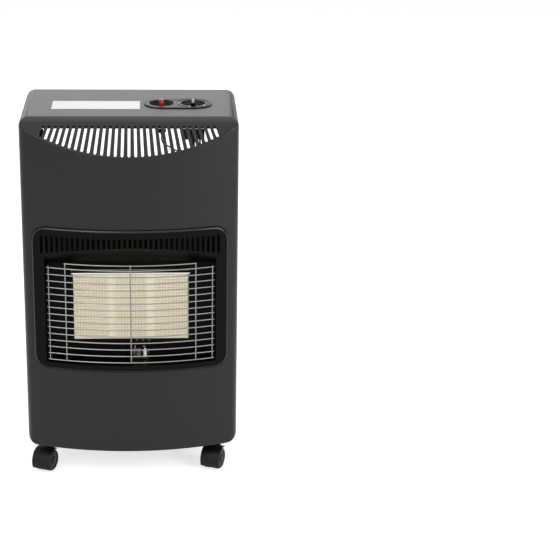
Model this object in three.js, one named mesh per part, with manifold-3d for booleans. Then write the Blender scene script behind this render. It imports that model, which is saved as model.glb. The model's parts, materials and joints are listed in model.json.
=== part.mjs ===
// Portable gas cabinet heater: a bowed steel cabinet on four twin-wheel castors, with a three-plaque
// radiant burner behind a wire guard, controls in the top and a bottle bay behind.
// Millimetres, +Z up. The cabinet frame used below has x = 0 on the centre line, y = 0 on the straight
// fold line of the front and z = 0 on the floor; the bowed front reaches to y = -BOW.
import * as THREE from 'three';
import Module from 'manifold-3d';
import { mergeVertices } from 'three/addons/utils/BufferGeometryUtils.js';

const wasm = await Module();
wasm.setup();

// ---------------------------------------------------------------- driving dimensions
const GAP = 0.3; // clearance between pieces that touch

const CABINET = {
  width: 430, // over the side walls
  depth: 250, // straight front line to the open back
  bow: 34, // how far the bowed front stands forward of the straight line
  bowHalfChord: 190, // half the chord that the bow is measured on
  top: 760, // height of the top plate above the floor
  bottom: 68, // height of the lower edge above the floor
  sheet: 1.2, // sheet steel thickness
  frontCorner: 20, // plan radius between a side and the bowed front
  rearCorner: 12, // plan radius of the rear edges
  fold: 18, // bend radius along the sides of the top
  lowerCurl: 20, // radius that the sides turn under with
  curlLip: 4, // flat left inside the turned-under edge
  rearFlange: 20, // width of the flanges round the open back
  rearTopFlange: 24, // depth of the flange under the rear top edge
  rearOpeningCorner: 6,
};

const FACET = {
  fold: 25, // bend radius between the facet and the top
  slope: 49, // degrees below horizontal
  setback: 24.5, // where the facet's plane meets the top plate, behind the straight line
};

const SLOTS = {
  count: 29,
  width: 5.3,
  pitch: 11.8, // along the straight row of upper ends
  start: 18.8, // from the facet's upper edge to the upper ends
  foot: 2.6, // from the lower ends to the crease
  fan: 520, // distance above the upper ends of the point that the slots fan from
  endSteps: 4,
};

const BEZEL = {
  width: 392,
  top: 214, // below the top plate
  height: 301.5,
  corner: 29,
  proud: 5, // thickness in front of the casing
  lap: 12, // overlap on the casing round its opening
  openingWidth: 342,
  openingBottom: 500.5, // below the top plate
  openingCorner: 3,
  wall: 2, // thickness of the collar and visor
  collar: 27, // depth of the collar behind the bowed face
};

const VISOR = {
  top: 255, // where the visor leaves the bowed face on the centre line, below the top plate
  slope: 45, // degrees below horizontal, running back and down
  drop: 38, // height from the face to the visor's lower edge
};

const VENTS = {
  count: 35,
  pitch: 10.3,
  width: 5,
  top: 231.5, // below the top plate
  centreHeight: 18.6,
  endHeight: 37.5,
};

const GUARD = {
  wires: 15,
  pitch: 14.04,
  first: 299.3, // centre line of the first full wire, below the top plate
  extra: 10.8, // the short top wire above the first one
  reach: 171.8, // half length of the full wires, measured across
  wire: 2.4, // diameter
  inner: 130, // from the centre to the inner uprights, where the short top wire ends
  outer: 165.5, // from the centre to the outer uprights
  weld: 0.48, // how deep the uprights sink into the wires
  returnDepth: 16, // how far the ends turn back into the collar
  sides: 5,
  bowSteps: 8,
};

const BURNER = {
  width: 233.4,
  height: 141.8,
  top: 318.8, // below the top plate
  face: 10, // y of the plaques' face
  plaques: 3,
  plaqueGap: 0.8,
  plaqueThickness: 13,
  sheet: 1.5,
  boxDepth: 46,
  rimWidth: 4.5,
  rimThickness: 1.5,
  rimLap: 1.2, // over the edges of the plaques
  tubeDiameter: 22,
  tubePitch: 78,
  tubeLength: 26,
  flange: 8, // lap of the box's flange on the back of the surround
};

const SURROUND = {
  back: 23.4, // y of the back plate's front face
  sheet: 1.2,
  windowGap: 2, // round the burner box
  frontSetback: 12, // behind the bowed face
  headroom: 4, // above the visor's lower edge
  hatchInset: 4, // of the hole under the pilot, from the ends of its shelf
  hatchDepth: 12,
};

const PARTITION = { y: 64, top: 122, flange: 14 }; // top is below the top plate

const DEFLECTOR = { width: 376, drop: 20, front: 11, back: 74, sheet: 1.2, flange: 12 };

const PANEL = {
  x: 96.5,
  y: 130,
  width: 137,
  depth: 76,
  proud: 2,
  spigotInset: 3,
  spigotDepth: 16,
  bowlX: 63,
  bowlRadius: 27,
  bowlFloorRadius: 15,
  bowlDepth: 13,
  knobX: 126.5,
  knobRecess: 24,
  knobRecessDepth: 8,
};

const KNOB = {
  radius: 21.4,
  disc: 3.2,
  grip: 8,
  gripTaper: 0.7, // width of the grip's top against its foot
  gripLength: 37,
  gripHeight: 5.6,
  travel: 4,
};

const SPINDLE = { radius: 4, collarRadius: 7.5, collarHeight: 4, collarDrop: 7 };

const BUTTON = { radius: 5.6, edge: 1.4, above: 10, travel: 5, stem: 2.2 };

const PIEZO = { radius: 9, length: 42, nut: 13, nutHeight: 5, terminal: 2.2, terminalLength: 6 };

const VALVE = {
  width: 46,
  depth: 40,
  height: 44,
  corner: 8,
  drop: 25, // below the top plate
  neck: 11,
  boss: 9,
  bossLength: 8,
  boreDepth: 22,
};

const INLET = {
  radius: 5.2,
  length: 34,
  collar: 4, // how far its seat stands out from the shank
  collarLength: 8,
  barb: 1.6,
  barbPitch: 7,
  wall: 2.6,
};

// The pipes and leads come down from the controls in front of the partition, each at its own inset
// from the cabinet's side, and run to the pilot at levels one spacing apart under the injector rail.
const ROUTES = {
  gas: { radius: 4, bend: 12, inset: 52, ahead: 20, drop: 34, over: 16 },
  pilot: { radius: 2, bend: 9, inset: 40, ahead: 18, level: 2 },
  lead: { radius: 1.5, bend: 8, inset: 66, ahead: 14, level: 1 },
  thermo: { radius: 1.3, bend: 7, inset: 30, ahead: 28, level: 3 },
  spacing: 8,
  drop: 16, // straight down from the controls
  over: 14, // above the partition's edge
};

const RAIL = {
  radius: 6,
  z: 520,
  y: 41,
  halfLength: 96,
  nozzleRadius: 4.5,
  nozzleGap: 2, // from a nozzle's tip to its mixing tube
  stayInset: 10,
  stayWidth: 12,
  stayHeight: 6,
};

const PILOT = {
  x: 16,
  y: 8,
  shelfWidth: 40,
  shelfDepth: 19,
  shelf: 1.5,
  burnerX: 14,
  burnerRadius: 4.4,
  burnerHeight: 18,
  ceramicX: 27,
  ceramicRadius: 3.4,
  ceramicHeight: 19,
  probeX: 5.5,
  probeRadius: 1.5,
  plate: 9, // height of the upright plate above the shelf
};

const PAN = {
  sheet: 1.5,
  rim: 20,
  clearance: 0.5,
  depth: 386,
  rearCorner: 38,
  hookX: 120,
  hookWidth: 34,
  hookLip: 6,
};

const COVER = {
  sheet: 1.2,
  top: 545, // above the floor
  flange: 13,
  lip: 12, // turned in along the top edge
  lipRun: 60, // how far the lip runs forward along the sides
  seatGap: 0.5,
  tiltRoom: 1.5, // behind the cover's lower edge, inside the hooks
  louvres: 5,
  louvreWidth: 150,
  louvreHeight: 7,
  louvrePitch: 18,
  louvreZ: 165,
  upperLouvreZ: 400,
  handWidth: 90,
  handHeight: 26,
  handDrop: 40,
};

const CASTOR = {
  frontInset: 40, // from the cabinet's side to the stem
  frontSetback: 44, // behind the straight front line
  frontTurn: 158, // degrees from trailing straight back
  rearInset: 65,
  rearSetback: 56, // ahead of the base tray's rear edge
  rearTurn: -14,
  wheelRadius: 23,
  wheelWidth: 17,
  wheelGap: 5, // between the two wheels
  trail: 17,
  axle: 3,
  hoodGap: 1.6, // between the tread and the hood
  hoodWall: 2.6,
  hoodFrom: -28, // degrees round the axle, from level behind the stem
  hoodTo: 150,
  hubRadius: 8,
  barrelRadius: 9.5,
  stemRadius: 5,
  stemReach: 14, // into the hood
  flangeRadius: 13,
  flange: 2.5,
  hoodTop: 58, // above the floor
  bossRise: 6, // of the boss's foot above the axle
  sideGap: 1, // between a wheel and the hood's web, and from a wheel to the hood's edge
  hubCap: 1.7, // thickness of a wheel's hub cap
};

const COLOURS = {
  charcoal: { color: 0x3b3d3f, roughness: 0.55, metalness: 0.3 },
  black: { color: 0x0f1010, roughness: 0.3, metalness: 0.1 },
  enamel: { color: 0x161616, roughness: 0.4, metalness: 0.2 },
  chrome: { color: 0xb9b9b6, roughness: 0.25, metalness: 1 },
  steel: { color: 0x9a9a98, roughness: 0.45, metalness: 0.9 },
  ceramic: { color: 0xd8c9ae, roughness: 0.95, metalness: 0 },
  white: { color: 0xf0efe9, roughness: 0.5, metalness: 0 },
  brass: { color: 0xb08d4a, roughness: 0.4, metalness: 1 },
  copper: { color: 0xb87350, roughness: 0.4, metalness: 1 },
  red: { color: 0xc8141c, roughness: 0.35, metalness: 0 },
  grey: { color: 0x8a8b8c, roughness: 0.5, metalness: 0.1 },
  rubber: { color: 0x141414, roughness: 0.8, metalness: 0 },
};

// ---------------------------------------------------------------- derived values
const HALF = CABINET.width / 2;
const TOP = CABINET.top;
const BOW_RADIUS = (CABINET.bowHalfChord ** 2 + CABINET.bow ** 2) / (2 * CABINET.bow);
const BOW_CENTRE = BOW_RADIUS - CABINET.bow; // y of the bow's axis
const CORNER_X = HALF - CABINET.frontCorner;
const CORNER_Y =
  BOW_CENTRE - Math.sqrt((BOW_RADIUS - CABINET.frontCorner) ** 2 - CORNER_X ** 2);
const BOW_ANGLE = Math.atan2(CORNER_X, BOW_CENTRE - CORNER_Y);
const BOW_STEPS = 22;
const CORNER_STEPS = 6;
const SLOPE = THREE.MathUtils.degToRad(FACET.slope);
const CURL_INNER = HALF - CABINET.lowerCurl - CABINET.curlLip;
const PAN_HALF = CURL_INNER - PAN.clearance;
const COVER_HALF = PAN_HALF + COVER.seatGap + COVER.sheet;
const FRONT_REACH = CABINET.bow + BEZEL.proud;

const below = (drop) => TOP - drop;
const bowY = (x, offset = 0) => BOW_CENTRE - Math.sqrt((BOW_RADIUS + offset) ** 2 - x * x);

// ---------------------------------------------------------------- solids
const cyclic = new THREE.Matrix4().makeBasis(
  new THREE.Vector3(0, 1, 0),
  new THREE.Vector3(0, 0, 1),
  new THREE.Vector3(1, 0, 0),
);
const facing = new THREE.Matrix4().makeBasis(
  new THREE.Vector3(1, 0, 0),
  new THREE.Vector3(0, 0, 1),
  new THREE.Vector3(0, -1, 0),
);

function solid(geometry) {
  const bare = geometry.index ? geometry.toNonIndexed() : geometry.clone();
  bare.deleteAttribute('normal');
  bare.deleteAttribute('uv');
  const merged = mergeVertices(bare, 1e-4);
  return new wasm.Manifold(
    new wasm.Mesh({
      numProp: 3,
      vertProperties: new Float32Array(merged.attributes.position.array),
      triVerts: new Uint32Array(merged.index.array),
    }),
  );
}

function geometryOf(body) {
  const mesh = body.getMesh();
  const geometry = new THREE.BufferGeometry();
  geometry.setAttribute('position', new THREE.BufferAttribute(mesh.vertProperties, 3));
  geometry.setIndex(new THREE.BufferAttribute(mesh.triVerts, 1));
  geometry.computeVertexNormals();
  return geometry;
}

const joined = (bodies) => bodies.reduce((sum, body) => sum.add(body));
const cut = (body, tools) => tools.reduce((rest, tool) => rest.subtract(tool), body);

function extruded(points, depth, holes = []) {
  const shape = new THREE.Shape(points);
  holes.forEach((hole) => shape.holes.push(new THREE.Path(hole)));
  return new THREE.ExtrudeGeometry(shape, { depth, bevelEnabled: false });
}

// An outline in x and y, standing from z0 to z1.
const upright = (points, z0, z1) => solid(extruded(points, z1 - z0).translate(0, 0, z0));
// An outline in x and z, running from y0 back to y1.
const backward = (points, y0, y1) =>
  solid(extruded(points, y1 - y0).applyMatrix4(facing).translate(0, y1, 0));
// An outline in y and z, running across from x0 to x1.
const across = (points, x0, x1) =>
  solid(extruded(points, x1 - x0).applyMatrix4(cyclic).translate(x0, 0, 0));

function block(x0, x1, y0, y1, z0, z1) {
  const geometry = new THREE.BoxGeometry(x1 - x0, y1 - y0, z1 - z0);
  return solid(geometry.translate((x0 + x1) / 2, (y0 + y1) / 2, (z0 + z1) / 2));
}

function cylinder(radius, length, steps = 20, topRadius = radius) {
  return new THREE.CylinderGeometry(topRadius, radius, length, steps).rotateX(Math.PI / 2);
}
const post = (radius, x, y, z0, z1, steps = 20, topRadius = radius) =>
  solid(cylinder(radius, z1 - z0, steps, topRadius).translate(x, y, (z0 + z1) / 2));

function lathe(profile, steps = 24) {
  const points = profile.map(([r, z]) => new THREE.Vector2(r, z));
  return solid(new THREE.LatheGeometry(points, steps).rotateX(Math.PI / 2));
}

function arc(cx, cy, radius, from, to, steps) {
  return Array.from({ length: steps + 1 }, (_, k) => {
    const angle = from + ((to - from) * k) / steps;
    return new THREE.Vector2(cx + radius * Math.cos(angle), cy + radius * Math.sin(angle));
  });
}

function roundedRectangle(x0, x1, y0, y1, lower, upper = lower, steps = CORNER_STEPS) {
  const quarter = Math.PI / 2;
  return [
    ...arc(x0 + lower, y0 + lower, lower, 2 * quarter, 3 * quarter, steps),
    ...arc(x1 - lower, y0 + lower, lower, 3 * quarter, 4 * quarter, steps),
    ...arc(x1 - upper, y1 - upper, upper, 0, quarter, steps),
    ...arc(x0 + upper, y1 - upper, upper, quarter, 2 * quarter, steps),
  ];
}

function stadium(cx, cy, width, depth, steps = 10) {
  const radius = depth / 2;
  const reach = width / 2 - radius;
  return [
    ...arc(cx + reach, cy, radius, -Math.PI / 2, Math.PI / 2, steps),
    ...arc(cx - reach, cy, radius, Math.PI / 2, (3 * Math.PI) / 2, steps),
  ];
}

// A round bar along a line of points, mitred at each one.
function swept(line, radius, sides) {
  const direction = (k) => line[k + 1].clone().sub(line[k]).normalize();
  const last = line.length - 1;
  const first = direction(0);
  const side = new THREE.Vector3(0, 0, Math.abs(first.z) < 0.9 ? 1 : 0);
  side.x = 1 - side.z;
  side.cross(first).normalize();
  const lift = first.clone().cross(side);
  let ring = arc(0, 0, radius, 0, 2 * Math.PI, sides).slice(0, sides).map((p) =>
    line[0].clone().addScaledVector(side, p.x).addScaledVector(lift, p.y),
  );
  const positions = ring.flatMap((p) => p.toArray());
  const index = [];
  for (let k = 1; k <= last; k += 1) {
    const into = direction(k - 1);
    const normal = k < last ? into.clone().add(direction(k)) : into;
    ring = ring.map((p) => {
      const travel = line[k].clone().sub(p).dot(normal) / into.dot(normal);
      return p.clone().addScaledVector(into, travel);
    });
    positions.push(...ring.flatMap((p) => p.toArray()));
    for (let j = 0; j < sides; j += 1) {
      const a = (k - 1) * sides + j;
      const b = (k - 1) * sides + ((j + 1) % sides);
      index.push(a, b, b + sides, a, b + sides, a + sides);
    }
  }
  for (let j = 1; j < sides - 1; j += 1) {
    index.push(0, j + 1, j, last * sides, last * sides + j, last * sides + j + 1);
  }
  const geometry = new THREE.BufferGeometry();
  geometry.setAttribute('position', new THREE.Float32BufferAttribute(positions, 3));
  geometry.setIndex(index);
  return solid(geometry);
}

// A round tube along straight runs joined by rounded corners.
function tube(corners, radius, bend, sides = 8, bendSteps = 4) {
  const points = corners.map(([x, y, z]) => new THREE.Vector3(x, y, z));
  const line = points.flatMap((corner, k) => {
    if (k === 0 || k === points.length - 1) {
      return [corner];
    }
    const toward = (other) =>
      corner.clone().addScaledVector(other.clone().sub(corner).normalize(), bend);
    const curve = new THREE.QuadraticBezierCurve3(toward(points[k - 1]), corner, toward(points[k + 1]));
    return curve.getPoints(bendSteps);
  });
  return swept(line, radius, sides);
}

// ---------------------------------------------------------------- cabinet forms
const bowArc = (offset) =>
  arc(0, BOW_CENTRE, BOW_RADIUS + offset, -Math.PI / 2 - BOW_ANGLE, -Math.PI / 2 + BOW_ANGLE, BOW_STEPS);

// The cabinet's plan, drawn in by an inset, back to the line y = rear.
function planOutline(inset, rear, rearRadius) {
  const half = HALF - inset;
  const corner = CABINET.frontCorner - inset;
  const start = -Math.PI / 2 + BOW_ANGLE;
  const right = arc(CORNER_X, CORNER_Y, corner, start, 0, CORNER_STEPS);
  const left = right.map((p) => new THREE.Vector2(-p.x, p.y)).reverse();
  return [
    ...left,
    ...bowArc(-inset).slice(1, -1),
    ...right,
    ...arc(half - rearRadius, rear - rearRadius, rearRadius, 0, Math.PI / 2, CORNER_STEPS),
    ...arc(rearRadius - half, rear - rearRadius, rearRadius, Math.PI / 2, Math.PI, CORNER_STEPS),
  ];
}

// The side view of the top fold and the sloping facet, drawn in by an inset.
function sideOutline(inset) {
  const tangent = FACET.fold * Math.tan(SLOPE / 2);
  const centre = FACET.setback + tangent;
  const fold = arc(
    centre, TOP - FACET.fold, FACET.fold - inset, Math.PI / 2, Math.PI / 2 + SLOPE, CORNER_STEPS,
  );
  const last = fold.at(-1);
  const run = 2 * (CABINET.bow + FACET.setback);
  const foot = new THREE.Vector2(last.x - run * Math.cos(SLOPE), last.y - run * Math.sin(SLOPE));
  const back = 2 * CABINET.depth;
  return [
    new THREE.Vector2(back, 0),
    new THREE.Vector2(back, TOP - inset),
    ...fold,
    foot,
    new THREE.Vector2(foot.x, 0),
  ];
}

const frontOutline = (inset) =>
  roundedRectangle(
    inset - HALF, HALF - inset, CABINET.bottom + inset, TOP - inset,
    CABINET.lowerCurl - inset, CABINET.fold - inset,
  );

function cabinetForm(inset) {
  const plan = planOutline(inset, CABINET.depth - inset, CABINET.rearCorner - inset);
  return upright(plan, 0, TOP + 1)
    .intersect(across(sideOutline(inset), -CABINET.width, CABINET.width))
    .intersect(backward(frontOutline(inset), -CABINET.width, CABINET.width));
}

// A slab that follows the bowed front, from front to back as measured outward from its surface.
function bowSlab(front, back, z0, z1) {
  const outline = [...bowArc(front), ...bowArc(back).reverse()];
  return upright(outline, z0, z1);
}

// Where the facet meets the bow, as a distance down the facet from its upper edge.
const creaseAt = (x) => (FACET.setback - bowY(x)) / Math.cos(SLOPE);

function ventSlot(index) {
  const x = (index - (SLOTS.count - 1) / 2) * SLOTS.pitch;
  const lean = x / SLOTS.fan;
  const length = (end) => (end - SLOTS.start) * Math.hypot(1, lean);
  const reach = creaseAt(x * (1 + (creaseAt(x) - SLOTS.start) / SLOTS.fan)) - SLOTS.foot;
  const radius = SLOTS.width / 2;
  const outline = [
    ...arc(0, -radius, radius, 0, Math.PI, SLOTS.endSteps),
    ...arc(0, radius - length(reach), radius, Math.PI, 2 * Math.PI, SLOTS.endSteps),
  ];
  const up = new THREE.Vector3(0, Math.cos(SLOPE), Math.sin(SLOPE));
  const out = new THREE.Vector3(0, -Math.sin(SLOPE), Math.cos(SLOPE));
  const place = new THREE.Matrix4().makeBasis(new THREE.Vector3(1, 0, 0), up, out);
  const depth = 8 * CABINET.sheet;
  const geometry = extruded(outline, depth).translate(0, 0, -depth / 2);
  geometry.rotateZ(Math.atan(lean)).translate(x, -SLOTS.start, 0).applyMatrix4(place);
  return solid(geometry.translate(0, FACET.setback, TOP));
}

// ---------------------------------------------------------------- casing
function cabinetShell() {
  const t = CABINET.sheet;
  const hollow = cabinetForm(t);
  const lap = BEZEL.lap;
  const burnerOpening = backward(
    roundedRectangle(
      lap - BEZEL.width / 2, BEZEL.width / 2 - lap,
      below(BEZEL.top + BEZEL.height) + lap, below(BEZEL.top) - lap, BEZEL.corner - lap,
    ),
    -2 * CABINET.bow, CABINET.frontCorner,
  );
  const underside = upright(
    planOutline(t, CABINET.depth - t, CABINET.rearCorner - t), CABINET.bottom - t, CABINET.bottom + 2 * t,
  ).intersect(block(-CURL_INNER, CURL_INNER, -CABINET.width, CABINET.width, 0, TOP));
  const rearOpening = backward(
    roundedRectangle(
      CABINET.rearFlange - HALF, HALF - CABINET.rearFlange, 0, below(CABINET.rearTopFlange),
      CABINET.rearOpeningCorner,
    ),
    CABINET.depth - 2 * t, CABINET.depth + t,
  );
  const spigot = PANEL.spigotInset - GAP;
  const controlOpening = upright(
    stadium(PANEL.x, PANEL.y, PANEL.width - 2 * spigot, PANEL.depth - 2 * spigot), TOP - 4 * t, TOP + t,
  );
  const slots = Array.from({ length: SLOTS.count }, (_, k) => ventSlot(k));
  return cut(cabinetForm(0), [hollow, burnerOpening, underside, rearOpening, controlOpening, ...slots]);
}

// A Z-shaped plate under the top that turns the rising air out through the slots.
function heatDeflector() {
  const t = DEFLECTOR.sheet;
  const roof = TOP - CABINET.sheet - GAP;
  const shelf = below(DEFLECTOR.drop);
  const back = DEFLECTOR.back;
  const section = [
    new THREE.Vector2(DEFLECTOR.front, shelf),
    new THREE.Vector2(back, shelf),
    new THREE.Vector2(back, roof - t),
    new THREE.Vector2(back + DEFLECTOR.flange, roof - t),
    new THREE.Vector2(back + DEFLECTOR.flange, roof),
    new THREE.Vector2(back - t, roof),
    new THREE.Vector2(back - t, shelf + t),
    new THREE.Vector2(DEFLECTOR.front, shelf + t),
  ];
  return across(section, -DEFLECTOR.width / 2, DEFLECTOR.width / 2);
}

// ---------------------------------------------------------------- burner frame
const visorAngle = THREE.MathUtils.degToRad(VISOR.slope);
const visorLip = below(VISOR.top + VISOR.drop);

// The region under the visor's plane, raised by a lift square to that plane. It ends at the visor's
// lower edge, or runs on level behind it.
function underVisor(lift, runsOn) {
  const start = -2 * CABINET.bow;
  const edge = -CABINET.bow + VISOR.drop / Math.tan(visorAngle);
  const top = below(VISOR.top) + lift / Math.cos(visorAngle);
  const lip = top - VISOR.drop;
  const points = [
    new THREE.Vector2(start, 0),
    new THREE.Vector2(edge, 0),
    new THREE.Vector2(edge, lip),
    new THREE.Vector2(start, lip + (edge - start) * Math.tan(visorAngle)),
  ];
  if (runsOn) {
    points.splice(1, 1, new THREE.Vector2(HALF, 0), new THREE.Vector2(HALF, lip));
  }
  return across(points, -HALF, HALF);
}

function openingOutline(grow, upper) {
  const half = BEZEL.openingWidth / 2 + grow;
  return roundedRectangle(
    -half, half, below(BEZEL.openingBottom) - grow, upper, BEZEL.openingCorner + grow, 4,
  );
}

function ventCuts() {
  return Array.from({ length: VENTS.count }, (_, k) => {
    const step = k - (VENTS.count - 1) / 2;
    const share = (step / ((VENTS.count - 1) / 2)) ** 2;
    const height = VENTS.centreHeight + (VENTS.endHeight - VENTS.centreHeight) * share;
    const x = step * VENTS.pitch;
    const upper = below(VENTS.top);
    return block(
      x - VENTS.width / 2, x + VENTS.width / 2, -2 * CABINET.bow, HALF, upper - height, upper,
    );
  });
}

function burnerFrame() {
  const wall = BEZEL.wall;
  const low = below(BEZEL.top + BEZEL.height);
  const y0 = -2 * CABINET.bow;
  const plate = roundedRectangle(
    -BEZEL.width / 2, BEZEL.width / 2, low, below(BEZEL.top), BEZEL.corner,
  );
  const face = bowSlab(BEZEL.proud, GAP, low - 1, TOP).intersect(backward(plate, y0, HALF));
  const opening = backward(openingOutline(0, TOP), y0, HALF);
  const throat = opening.intersect(underVisor(0, true));
  const collar = backward(openingOutline(wall, TOP), y0, HALF)
    .intersect(underVisor(wall, false).add(block(-HALF, HALF, y0, HALF, 0, visorLip)))
    .intersect(bowSlab(BEZEL.proud / 2, -BEZEL.collar, low, TOP));
  const visor = underVisor(wall, false)
    .intersect(bowSlab(BEZEL.proud / 2, -HALF / 2, visorLip, TOP))
    .intersect(backward(openingOutline(wall, TOP), y0, HALF));
  return cut(joined([face, collar, visor]), [throat, ...ventCuts()]);
}

// Bowed wires joined by upright ones, their ends turned back into the collar.
function guardGrille() {
  const radius = GUARD.wire / 2;
  const wire = (reach, drop, returned) => {
    const angle = Math.asin(reach / (BOW_RADIUS - radius));
    const start = -Math.PI / 2 - angle;
    const route = arc(
      0, BOW_CENTRE, BOW_RADIUS - radius, start, start + 2 * angle, GUARD.bowSteps,
    ).map((p) => new THREE.Vector3(p.x, p.y, below(drop)));
    const ends = [route[0], route.at(-1)].map((p) => p.clone().setY(p.y + GUARD.returnDepth));
    return swept(returned ? [ends[0], ...route, ends[1]] : route, radius, GUARD.sides);
  };
  const full = Array.from({ length: GUARD.wires }, (_, k) =>
    wire(GUARD.reach - 2 * radius, GUARD.first + k * GUARD.pitch, true),
  );
  const short = wire(GUARD.inner + radius, GUARD.first - GUARD.extra, false);
  const uprights = [-GUARD.outer, -GUARD.inner, 0, GUARD.inner, GUARD.outer].map((x) => {
    const inner = Math.abs(x) <= GUARD.inner;
    const upper = below(GUARD.first - (inner ? GUARD.extra : 0)) + radius;
    const lower = below(GUARD.first + (GUARD.wires - 1) * GUARD.pitch) - radius;
    const y = bowY(x, -radius) + GUARD.wire - GUARD.weld;
    return post(radius, x, y, lower, upper, GUARD.sides);
  });
  return joined([...full, short, ...uprights]);
}

// ---------------------------------------------------------------- burner
const burnerBottom = below(BURNER.top + BURNER.height);

function plaque(index) {
  const width = (BURNER.width - (BURNER.plaques - 1) * BURNER.plaqueGap) / BURNER.plaques;
  const x0 = -BURNER.width / 2 + index * (width + BURNER.plaqueGap);
  return block(
    x0, x0 + width, BURNER.face, BURNER.face + BURNER.plaqueThickness, burnerBottom, below(BURNER.top),
  );
}

// An open-fronted steel box behind the plaques, with three mixing tubes under it.
function burnerBox() {
  const half = BURNER.width / 2 + GAP;
  const t = BURNER.sheet;
  const z0 = burnerBottom - GAP;
  const z1 = below(BURNER.top) + GAP;
  const y0 = BURNER.face + BURNER.rimThickness;
  const y1 = BURNER.face + BURNER.boxDepth;
  const tray = block(-half - t, half + t, y0, y1, z0 - t, z1 + t);
  const room = block(-half, half, y0 - t, y1 - t, z0, z1);
  const tubes = tubePlaces().map((x) =>
    post(BURNER.tubeDiameter / 2, x, RAIL.y, z0 - t - BURNER.tubeLength, z0 - t / 2, 16),
  );
  const bores = tubePlaces().map((x) =>
    post(BURNER.tubeDiameter / 2 - t, x, RAIL.y, z0 - t - 2 * BURNER.tubeLength, z0 + t, 16),
  );
  const seat = SURROUND.back + SURROUND.sheet + GAP;
  const reach = t + SURROUND.windowGap + BURNER.flange;
  const flange = block(-half - reach, half + reach, seat, seat + t, z0 - reach, z1 + reach);
  return cut(joined([tray, flange, ...tubes]), [room, ...bores]);
}

const tubePlaces = () => [-1, 0, 1].map((k) => k * BURNER.tubePitch);

// The bright frame that holds the plaques in the box.
function burnerRim() {
  const half = BURNER.width / 2;
  const z0 = burnerBottom;
  const z1 = below(BURNER.top);
  const w = BURNER.rimWidth;
  const lap = BURNER.rimLap;
  const plate = block(
    -half - w, half + w, BURNER.face - BURNER.rimThickness - GAP, BURNER.face - GAP, z0 - w, z1 + w,
  );
  return plate.subtract(block(-half + lap, half - lap, -HALF, HALF, z0 + lap, z1 - lap));
}

// The dark recess round the burner: a back plate with a window, and walls that run forward.
function burnerSurround() {
  const t = SURROUND.sheet;
  const grow = BEZEL.wall + GAP;
  const roof = visorLip + SURROUND.headroom;
  const y0 = -2 * CABINET.bow;
  const backFace = SURROUND.back;
  const outer = backward(openingOutline(grow + t, roof + t), y0, backFace + t);
  const inner = backward(openingOutline(grow, roof), y0, backFace);
  const room = upright(
    planOutline(SURROUND.frontSetback, CABINET.depth, CABINET.rearCorner), 0, TOP,
  );
  const visorEdge = -CABINET.bow + VISOR.drop / Math.tan(visorAngle) + BEZEL.wall + 1;
  const roofNotch = block(-HALF, HALF, y0, visorEdge, roof - 3 * SURROUND.headroom, TOP);
  const gap = BURNER.sheet + GAP + SURROUND.windowGap;
  const window = block(
    -BURNER.width / 2 - gap, BURNER.width / 2 + gap, 0, HALF, burnerBottom - gap, below(BURNER.top) + gap,
  );
  const hatchX = PILOT.shelfWidth / 2 - SURROUND.hatchInset;
  const hatchY = SURROUND.hatchDepth / 2;
  const hatch = block(
    PILOT.x - hatchX, PILOT.x + hatchX, PILOT.y - hatchY, PILOT.y + hatchY, 0,
    below(BEZEL.openingBottom) + 1,
  );
  return cut(outer, [inner, roofNotch, window, hatch]).intersect(room);
}

function bottlePartition() {
  const t = CABINET.sheet;
  const half = HALF - t - GAP;
  const z0 = CABINET.bottom + PAN.rim + GAP;
  const z1 = below(PARTITION.top);
  const sheet = block(-half, half, PARTITION.y, PARTITION.y + t, z0, z1);
  const flanges = [-1, 1].map((side) => {
    const x = side * (half - t / 2);
    return block(x - t / 2, x + t / 2, PARTITION.y, PARTITION.y + PARTITION.flange, z0, z1);
  });
  return joined([sheet, ...flanges]);
}

// ---------------------------------------------------------------- gas train
function injectorRail() {
  const along = new THREE.CylinderGeometry(RAIL.radius, RAIL.radius, 2 * RAIL.halfLength, 14);
  const rail = solid(along.rotateZ(Math.PI / 2).translate(0, RAIL.y, below(RAIL.z)));
  const tubeFoot = burnerBottom - GAP - BURNER.sheet - BURNER.tubeLength;
  const nozzles = tubePlaces().map((x) =>
    post(
      RAIL.nozzleRadius, x, RAIL.y, below(RAIL.z), tubeFoot - RAIL.nozzleGap, 12, RAIL.nozzleRadius / 2,
    ),
  );
  const stays = [-1, 1].map((side) => {
    const x = side * (RAIL.halfLength - RAIL.stayInset);
    const half = RAIL.stayWidth / 2;
    const rise = RAIL.stayHeight / 2;
    return block(x - half, x + half, RAIL.y, PARTITION.y - GAP, below(RAIL.z) - rise, below(RAIL.z) + rise);
  });
  return joined([rail, ...nozzles, ...stays]);
}

const valveTop = below(VALVE.drop);
const valveFoot = valveTop - VALVE.height;

function gasValve() {
  const { width, depth, corner } = VALVE;
  const { knobX, y } = PANEL;
  const body = upright(
    roundedRectangle(
      knobX - width / 2, knobX + width / 2, y - depth / 2, y + depth / 2, corner, corner, 4,
    ),
    valveFoot, valveTop,
  );
  const neck = post(VALVE.neck, knobX, y, valveTop - 1, TOP - PANEL.spigotDepth - GAP, 20);
  const boss = post(VALVE.boss, knobX, y, valveFoot - VALVE.bossLength, valveFoot + 1, 16);
  const bore = post(SPINDLE.radius + GAP, knobX, y, valveTop - VALVE.boreDepth, TOP, 20);
  const well = post(
    SPINDLE.collarRadius + GAP, knobX, y,
    TOP - PANEL.spigotDepth - SPINDLE.collarDrop - KNOB.travel - 1, TOP, 20,
  );
  return cut(joined([body, neck, boss]), [bore, well]);
}

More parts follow.
